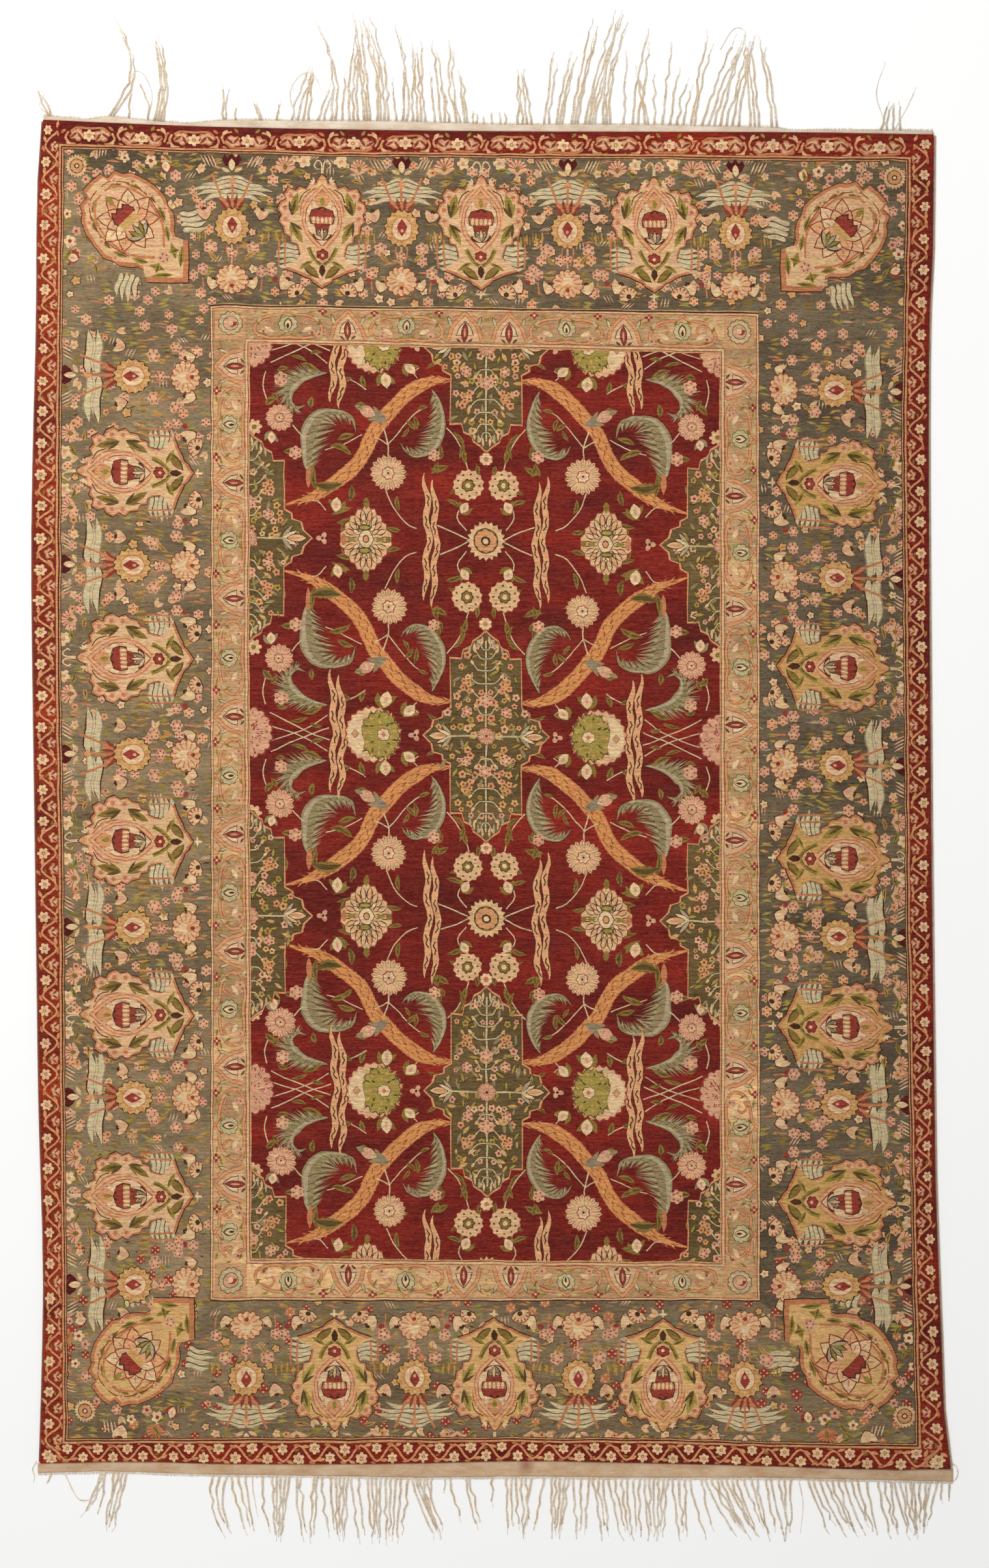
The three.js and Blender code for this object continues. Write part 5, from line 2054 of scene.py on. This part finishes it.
def weave_group():
    """Plain weave: threads over and under each other, as a height and as thin gaps between them, which the cotton
    darkens as painted shade.
    """
    tree, source, result = new_group(
        "plain_weave",
        [("Threads", "Float", 900.0)],
        [("Height", "Float", None), ("Gaps", "Float", None)],
    )
    place = add(tree, "TexCoord").outputs["Object"]
    scaled = add(tree, "VectorMath", {0: place, "Scale": source.outputs["Threads"]}, operation="SCALE")
    axes = add(tree, "SeparateXYZ", {0: scaled.outputs[0]})
    across = maths(tree, "SINE", maths(tree, "MULTIPLY", axes.outputs[0], math.pi))
    along = maths(tree, "SINE", maths(tree, "MULTIPLY", axes.outputs[1], math.pi))
    over = maths(tree, "MULTIPLY", across, along)
    slub = stretched_noise(tree, (500.0, 500.0, 1.0), 2.0)
    height = maths(tree, "ADD", ranged(tree, over, -1.0, 1.0), maths(tree, "MULTIPLY", slub, 0.6))
    tree.links.new(height, result.inputs["Height"])
    # Painted shade: a mask of the low gaps between threads, for the cotton to darken.
    tree.links.new(ranged(tree, over, -0.2, 0.35, 1.0, 0.0), result.inputs["Gaps"])
    return tree


plain_weave = weave_group()


def cotton_weave(name, pale, dark, soil, soil_at, soil_share):
    """Undyed cotton: pale weave, darkened in its gaps as painted shade, with soft dirt. soil_at is where a stain lies.
    """
    made = bpy.data.materials.new(name)
    made.use_nodes = True
    tree = made.node_tree
    shader = tree.nodes["Principled BSDF"]
    shader.inputs["Roughness"].default_value = 0.9
    shader.inputs["Specular IOR Level"].default_value = 0.12
    light, deep, dirt = yarn_tones((pale, dark, soil))
    weave = add(tree, "Group", {"Threads": 850.0}, node_tree=plain_weave)
    drift = stretched_noise(tree, (26.0, 60.0, 1.0), 4.0, 0.65)
    base = blended(tree, "MIX", ranged(tree, drift, 0.38, 0.66), light, deep)
    # Painted shade: the cotton is darkened in the gaps between its threads.
    gaps = blended(tree, "MULTIPLY", maths(tree, "MULTIPLY", weave.outputs["Gaps"], 0.35), base, (0.45, 0.36, 0.28, 1))
    place = add(tree, "TexCoord").outputs["Object"]
    away = add(tree, "VectorMath", {0: place, 1: soil_at}, operation="DISTANCE").outputs["Value"]
    stain = maths(tree, "MULTIPLY", ranged(tree, away, 0.002, 0.014, 1.0, 0.0), soil_share)
    spots = ranged(tree, stretched_noise(tree, (48.0, 90.0, 1.0), 4.0, 0.7), 0.6, 0.74, 0.0, 0.3)
    dirty = blended(tree, "MIX", maths(tree, "MAXIMUM", stain, spots), gaps, dirt)
    aged_and_lit = add(tree, "Group", {"Color": dirty, "Streaks": 0.06, "Knots": 0.08, "Tints": 0.03}, node_tree=aged_dye_and_painted_light)
    finished(tree, shader, aged_and_lit.outputs["Color"], weave.outputs["Height"], 0.6, 0.0004)
    return made


band = woven_strip("upper_woven_band", "upper_end_band", 1, BAND_HEIGHT)
band.data.materials.append(cotton_weave("band_cotton", "fae9d2", "e2caad", "b8a584", (0, 5, 0), 0.0))
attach(band, "root")
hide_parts("upper_end_band")

# Lower end tape
# A cotton tape sewn over the lower end to hold it, peach beige, with one rusty spot.
TAPE_HEIGHT = 0.0015
STAIN_AT = (0.0524, -0.9115, 0.0015)

tape = woven_strip("lower_sewn_tape", "lower_end_tape", -1, TAPE_HEIGHT)
tape.data.materials.append(cotton_weave("tape_cotton", "e3c5a3", "cfa882", "97553c", STAIN_AT, 0.7))
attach(tape, "root")
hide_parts("lower_end_tape")

# Fringes
# The cotton warps themselves, left long at both ends, worn and knotted by use into uneven
# locks. Each strand is a few fine plied threads that lie on the floor.
LOCK = ("root", "spread", "strands", "reach", "lean", "bow", "open")
UPPER_LOCKS = (
    (-598, 3, 2, 41, -19, 0, 1.4),
    (-514, 4, 2, 136, 6, 27, 1.5),
    (-490, 2, 1, 50, 5, 0, 1),
    (-464, 2, 1, 58, -18, 6, 1),
    (-449, 12, 4, 118, -4, 8, 0.5),
    (-359, 3, 2, 50, 0, 0, 3),
    (-344, 2, 1, 20, 0, 0, 1),
    (-310, 3, 2, 27, -6, 0, 1.5),
    (-288, 2, 1, 27, 5, 0, 1),
    (-256, 23, 4, 75, 16, 0, 0.3),
    (-228, 9, 2, 50, 17, 0, 0.6),
    (-211, 5, 2, 138, -18, 8, 1.4),
    (-199, 2, 1, 67, 5, 0, 1),
    (-183, 12, 3, 116, 7, -4, 0.6),
    (-165, 8, 3, 147, -14, 0, 1.2),
    (-144, 15, 4, 144, -22, 5, 0.7),
    (-125, 2, 1, 60, -6, 0, 1),
    (-114, 5, 2, 134, -10, 6, 1),
    (-94, 17, 4, 110, -4, 0, 0.7),
    (-73, 2, 1, 70, -6, 0, 1),
    (-62, 5, 2, 113, -11, 0, 1),
    (-53, 2, 1, 48, -8, 0, 1),
    (-40, 5, 2, 114, -11, -6, 1),
    (-30, 4, 2, 73, -8, 0, 1),
    (-18, 4, 2, 18, 0, 0, 1),
    (-6, 2, 1, 11, 0, 0, 1),
    (5, 2, 1, 16, 0, 0, 1),
    (16, 2, 1, 17, 0, 0, 1),
    (23, 2, 1, 17, 0, 0, 1),
    (50, 19, 4, 76, -6, 0, 0.5),
    (80, 7, 2, 99, 11, 0, 0.7),
    (97, 8, 3, 100, 20, 0, 0.8),
    (118, 8, 3, 144, 29, 0, 1),
    (139, 13, 4, 156, 39, 0, 0.8),
    (162, 9, 3, 150, 27, -8, 0.8),
    (185, 2, 1, 100, 5, 0, 1),
    (201, 7, 2, 131, 20, 0, 0.8),
    (216, 4, 2, 80, -12, 0, 1),
    (227, 2, 1, 69, 0, 0, 1),
    (238, 2, 1, 113, 14, 0, 1),
    (248, 2, 1, 77, 13, 0, 1),
    (262, 9, 2, 65, 12, 0, 0.7),
    (279, 5, 2, 131, 25, 0, 1),
    (317, 50, 7, 125, 35, 0, 0.5),
    (364, 12, 3, 126, -10, 0, 0.7),
    (391, 7, 2, 128, -18, 0, 1),
    (549, 27, 4, 40, 4, 0, 0.5),
)
LOWER_LOCKS = (
    (-596, 2, 1, 14, -5, 0, 1),
    (-525, 5, 3, 62, -19, 0, 4),
    (-502, 17, 4, 81, -16, 0, 0.5),
    (-366, 20, 3, 86, 12, -8, 0.4),
    (-341, 20, 3, 82, 17, 0, 0.5),
    (-307, 2, 1, 78, 11, -4, 1),
    (-283, 24, 5, 90, -2, 0, 0.35),
    (-259, 5, 2, 90, 8, 0, 1),
    (-236, 5, 2, 92, -4, 0, 1),
    (-221, 12, 2, 84, 8, 0, 0.6),
    (-200, 17, 4, 88, 0, 0, 0.5),
    (-182, 10, 2, 92, 10, 0, 0.7),
    (-156, 18, 4, 90, 4, 0, 0.5),
    (-133, 14, 3, 93, -1, 0, 0.6),
    (-114, 10, 2, 90, -7, 0, 0.7),
    (-94, 20, 5, 84, 28, 0, 0.6),
    (-68, 18, 2, 24, 0, 0, 1),
    (-52, 3, 1, 60, 16, 0, 1),
    (-28, 5, 2, 71, 16, 0, 1),
    (6, 3, 1, 41, 0, 0, 1),
    (38, 26, 5, 78, 4, 0, 1.1),
    (68, 17, 2, 84, -13, 0, 0.8),
    (98, 24, 5, 84, -4, 0, 0.5),
    (127, 22, 3, 84, 0, 0, 0.5),
    (150, 15, 3, 86, 12, 0, 0.6),
    (173, 18, 3, 86, 15, 0, 0.5),
    (198, 17, 3, 86, 5, 0, 0.6),
    (229, 32, 6, 86, 0, 0, 0.6),
    (260, 18, 3, 86, 7, 0, 0.5),
    (283, 16, 2, 84, 20, 0, 0.6),
    (304, 16, 3, 80, 41, 0, 0.7),
    (325, 14, 3, 84, 38, 0, 0.7),
    (349, 20, 3, 80, 27, 0, 0.6),
    (373, 12, 2, 86, 16, 0, 0.7),
    (391, 10, 2, 86, 19, 0, 0.7),
    (409, 9, 2, 86, 2, 0, 0.7),
    (440, 7, 2, 75, 30, 0, 1),
    (465, 26, 4, 79, 32, 0, 0.6),
    (495, 18, 3, 76, 26, 0, 0.7),
    (517, 2, 1, 75, 15, 0, 1),
    (541, 17, 3, 79, 15, 0, 0.6),
    (565, 22, 4, 80, 17, 0, 0.5),
    (589, 16, 3, 76, 2, 0, 0.6),
    (608, 9, 2, 70, -13, 0, 0.7),
    (624, 10, 2, 30, 0, 0, 1),
)
LOOSE_THREADS = {
    # threads that left their locks: how thick, and the points they pass, in millimetres
    1: (
        (0.45, (-464, 925), (-458, 957), (-468, 984), (-482, 990), (-492, 970)),
        (0.35, (-262, 924), (-270, 960), (-256, 985), (-238, 986), (-226, 962)),
        (0.35, (317, 1020), (335, 1048), (350, 1046), (352, 1032)),
        (0.3, (545, 912), (530, 960), (543, 1004)),
        (0.3, (556, 912), (574, 945), (585, 969)),
        (0.35, (-600, 931), (-612, 944), (-606, 958), (-614, 968)),
    ),
    -1: (
        (0.5, (-577.6, -922), (-560.7, -955), (-546.4, -958.8), (-532.2, -948), (-522.4, -930)),
        (0.35, (-321, -927), (-320, -948), (-314, -982)),
        (0.35, (424, -931), (430, -962), (427, -1004)),
        (0.5, (-616, -906), (-621, -917), (-618, -928), (-620.5, -936)),
        (0.5, (632, -908), (640, -914), (641, -926), (634, -935)),
    ),
}
STRAND_SHORTER = 0.07
LEAN_CURL = 1.2
THREADS = 6
THREAD_RADIUS = 0.00052
MM = 0.001


def threads_along(path, count, radius, spread, verts, faces, seed, thin=0.45):
    """Plies a few threads round a path that lies on the floor, as three-sided tubes."""
    last = len(path) - 1
    sides = [Vector((-(path[min(k + 1, last)] - path[max(k - 1, 0)]).y, (path[min(k + 1, last)] - path[max(k - 1, 0)]).x, 0)).normalized() for k in range(last + 1)]
    for n in range(count):
        phase = 2 * math.pi * n / count + seed
        length = last * (1 - 0.16 * ((n * 3 + int(seed * 7)) % 4) / 4)
        start = len(verts)
        rings = 0
        for k in range(last + 1):
            if k > length:
                break
            t = k / last
            loose = spread * (1 - 0.35 * t) * (1 if count > 1 else 0)
            turn = phase + 5.2 * t * (1 + 0.4 * noise.noise(Vector((seed, n, 0))))
            stray = 0.0019 * t * noise.noise(Vector((n * 3.1 + seed * 5, t * 4.0, 1)))
            stray += 0.0004 * noise.noise(Vector((n + seed * 9, t * 11.0, 3)))
            place = path[k] + sides[k] * (loose * math.cos(turn) + stray)
            half_thick = radius * (1 - (1 - thin) * t)
            lift = half_thick * 0.6 + 0.5 * loose * (1 + math.sin(turn))
            for corner_turn in (0.5, 2.6, 4.7):
                out = math.cos(corner_turn) * half_thick
                up = math.sin(corner_turn) * half_thick
                verts.append((*(place + sides[k] * out).to_2d(), max(0.0, place.z + lift + up)))
            rings += 1
        for k in range(rings - 1):
            for c in range(3):
                a, b = start + 3 * k + c, start + 3 * k + (c + 1) % 3
                faces.append((a, a + 3, b + 3, b))
        faces.append((start, start + 1, start + 2))
        tip = start + 3 * (rings - 1)
        faces.append((tip + 2, tip + 1, tip))


def fringe_piece(name, node, end, rows):
    """All the threads of one end's fringe, with the strip of roots where they leave the cloth."""
    ring = rim_of(node, 0.3, 2.0)
    strip = np.array([v.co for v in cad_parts[node].data.vertices])
    roots_rim = rim_of(node.replace("fringe", "end_band" if end > 0 else "end_tape"), 0.3, 0.9)
    edge_rows = UPPER_CLOTH if end > 0 else LOWER_CLOTH
    edge_x = np.array([row[0] for row in edge_rows]) * MM
    edge_y = np.array([row[1] for row in edge_rows]) * MM
    verts = []
    faces = []
    for index, row in enumerate(rows):
        lock = dict(zip(LOCK, row))
        for i in range(lock["strands"]):
            across = (i / (lock["strands"] - 1) - 0.5) * lock["spread"] if lock["strands"] > 1 else 0
            reach_out = lock["reach"] * (1 - STRAND_SHORTER * ((i * 2) % 3))
            root = lock["root"] + across
            rise = float(np.interp(root * MM, edge_x, edge_y)) - end * 0.001
            steps = max(5, round(reach_out / 9))
            path = []
            for k in range(steps + 1):
                t = k / steps
                x = root + across * (lock["open"] - 1) * t + lock["lean"] * t**LEAN_CURL
                x += lock["bow"] * math.sin(math.pi * t)
                x += 4.6 * noise.noise(Vector((root, 4.6 * t * reach_out / 60, end))) * min(1, 4 * t)
                drop = max(0.0, 1 - 5 * t) * 0.0009
                path.append(Vector((x * MM, rise + end * reach_out * t * MM, drop)))
            threads_along(path, THREADS, THREAD_RADIUS, 0.0012, verts, faces, index * 1.7 + i * 0.9)
    for x in np.arange(edge_x[0] + 0.001, edge_x[-1] - 0.001, 0.0023):
        y = float(np.interp(x, edge_x, edge_y))
        stub = 0.0014 + 0.0022 * abs(noise.noise(Vector((x * 400, end, 5))))
        lean = 0.001 * noise.noise(Vector((x * 300, end, 9)))
        path = [Vector((x + lean * t, y + end * (stub * t - 0.0019 * (1 - t)), 0.0006 * (1 - t))) for t in (0, 0.4, 0.7, 1)]
        threads_along(path, 2, 0.00055, 0.0005, verts, faces, x * 999, 0.6)
    for n, (thick, *stops) in enumerate(LOOSE_THREADS[end]):
        curve = spline([complex(x, y) for x, y in stops], 6)
        path = [Vector((z.real * MM, z.imag * MM, 0.0002)) for z in curve]
        threads_along(path, 2, thick * MM, 0.0004, verts, faces, n * 2.3, 0.6)
    mesh = bpy.data.meshes.new(name)
    mesh.from_pydata(verts, [], faces)
    mesh.shade_smooth()
    made = bpy.data.objects.new(name, mesh)
    scene.collection.objects.link(made)
    return made


UPPER_CLOTH = (
    (-606.5, 931.8),
    (-547.9, 925.6),
    (-514.2, 930.6),
    (-470.6, 925.6),
    (-412, 920.4),
    (-358.8, 925.3),
    (-128.8, 923.8),
    (27.5, 919.1),
    (209.6, 919.1),
    (394, 915),
    (412, 911.3),
    (563, 911.1),
    (608.3, 909.8),
)
LOWER_CLOTH = (
    (-614, -924.4),
    (-522.1, -921.7),
    (-380.1, -926.2),
    (-292.2, -927.1),
    (-89.7, -930.5),
    (45.3, -928.8),
    (199.8, -930.5),
    (382.7, -930.5),
    (635, -936),
)


def warp_cotton():
    """Undyed cotton warps, greyed and browned unevenly by wear."""
    made = bpy.data.materials.new("warp_cotton")
    made.use_nodes = True
    tree = made.node_tree
    shader = tree.nodes["Principled BSDF"]
    shader.inputs["Roughness"].default_value = 0.85
    shader.inputs["Specular IOR Level"].default_value = 0.15
    deep, pale, grey = yarn_tones(("efd4b0", "fff5e4", "dcc6a8"))
    drift = stretched_noise(tree, (40.0, 22.0, 1.0), 4.0, 0.65)
    base = blended(tree, "MIX", ranged(tree, drift, 0.36, 0.62), deep, pale)
    ends = ranged(tree, stretched_noise(tree, (90.0, 60.0, 1.0), 3.0, 0.7), 0.52, 0.68, 0.0, 0.6)
    greyed = blended(tree, "MIX", ends, base, grey)
    aged_and_lit = add(tree, "Group", {"Color": greyed, "Streaks": 0.12, "Knots": 0.16, "Tints": 0.03}, node_tree=aged_dye_and_painted_light)
    finished(tree, shader, aged_and_lit.outputs["Color"], aged_and_lit.outputs["Height"], 0.3, 0.0003)
    return made


warp_paint = warp_cotton()
fringes = [
    fringe_piece("upper_warp_fringe", "upper_fringe", 1, UPPER_LOCKS),
    fringe_piece("lower_warp_fringe", "lower_fringe", -1, LOWER_LOCKS),
]
for fringe, node in zip(fringes, ("upper_fringe", "lower_fringe")):
    fringe.data.materials.append(warp_paint)
    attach(fringe, "root")
    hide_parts(node)
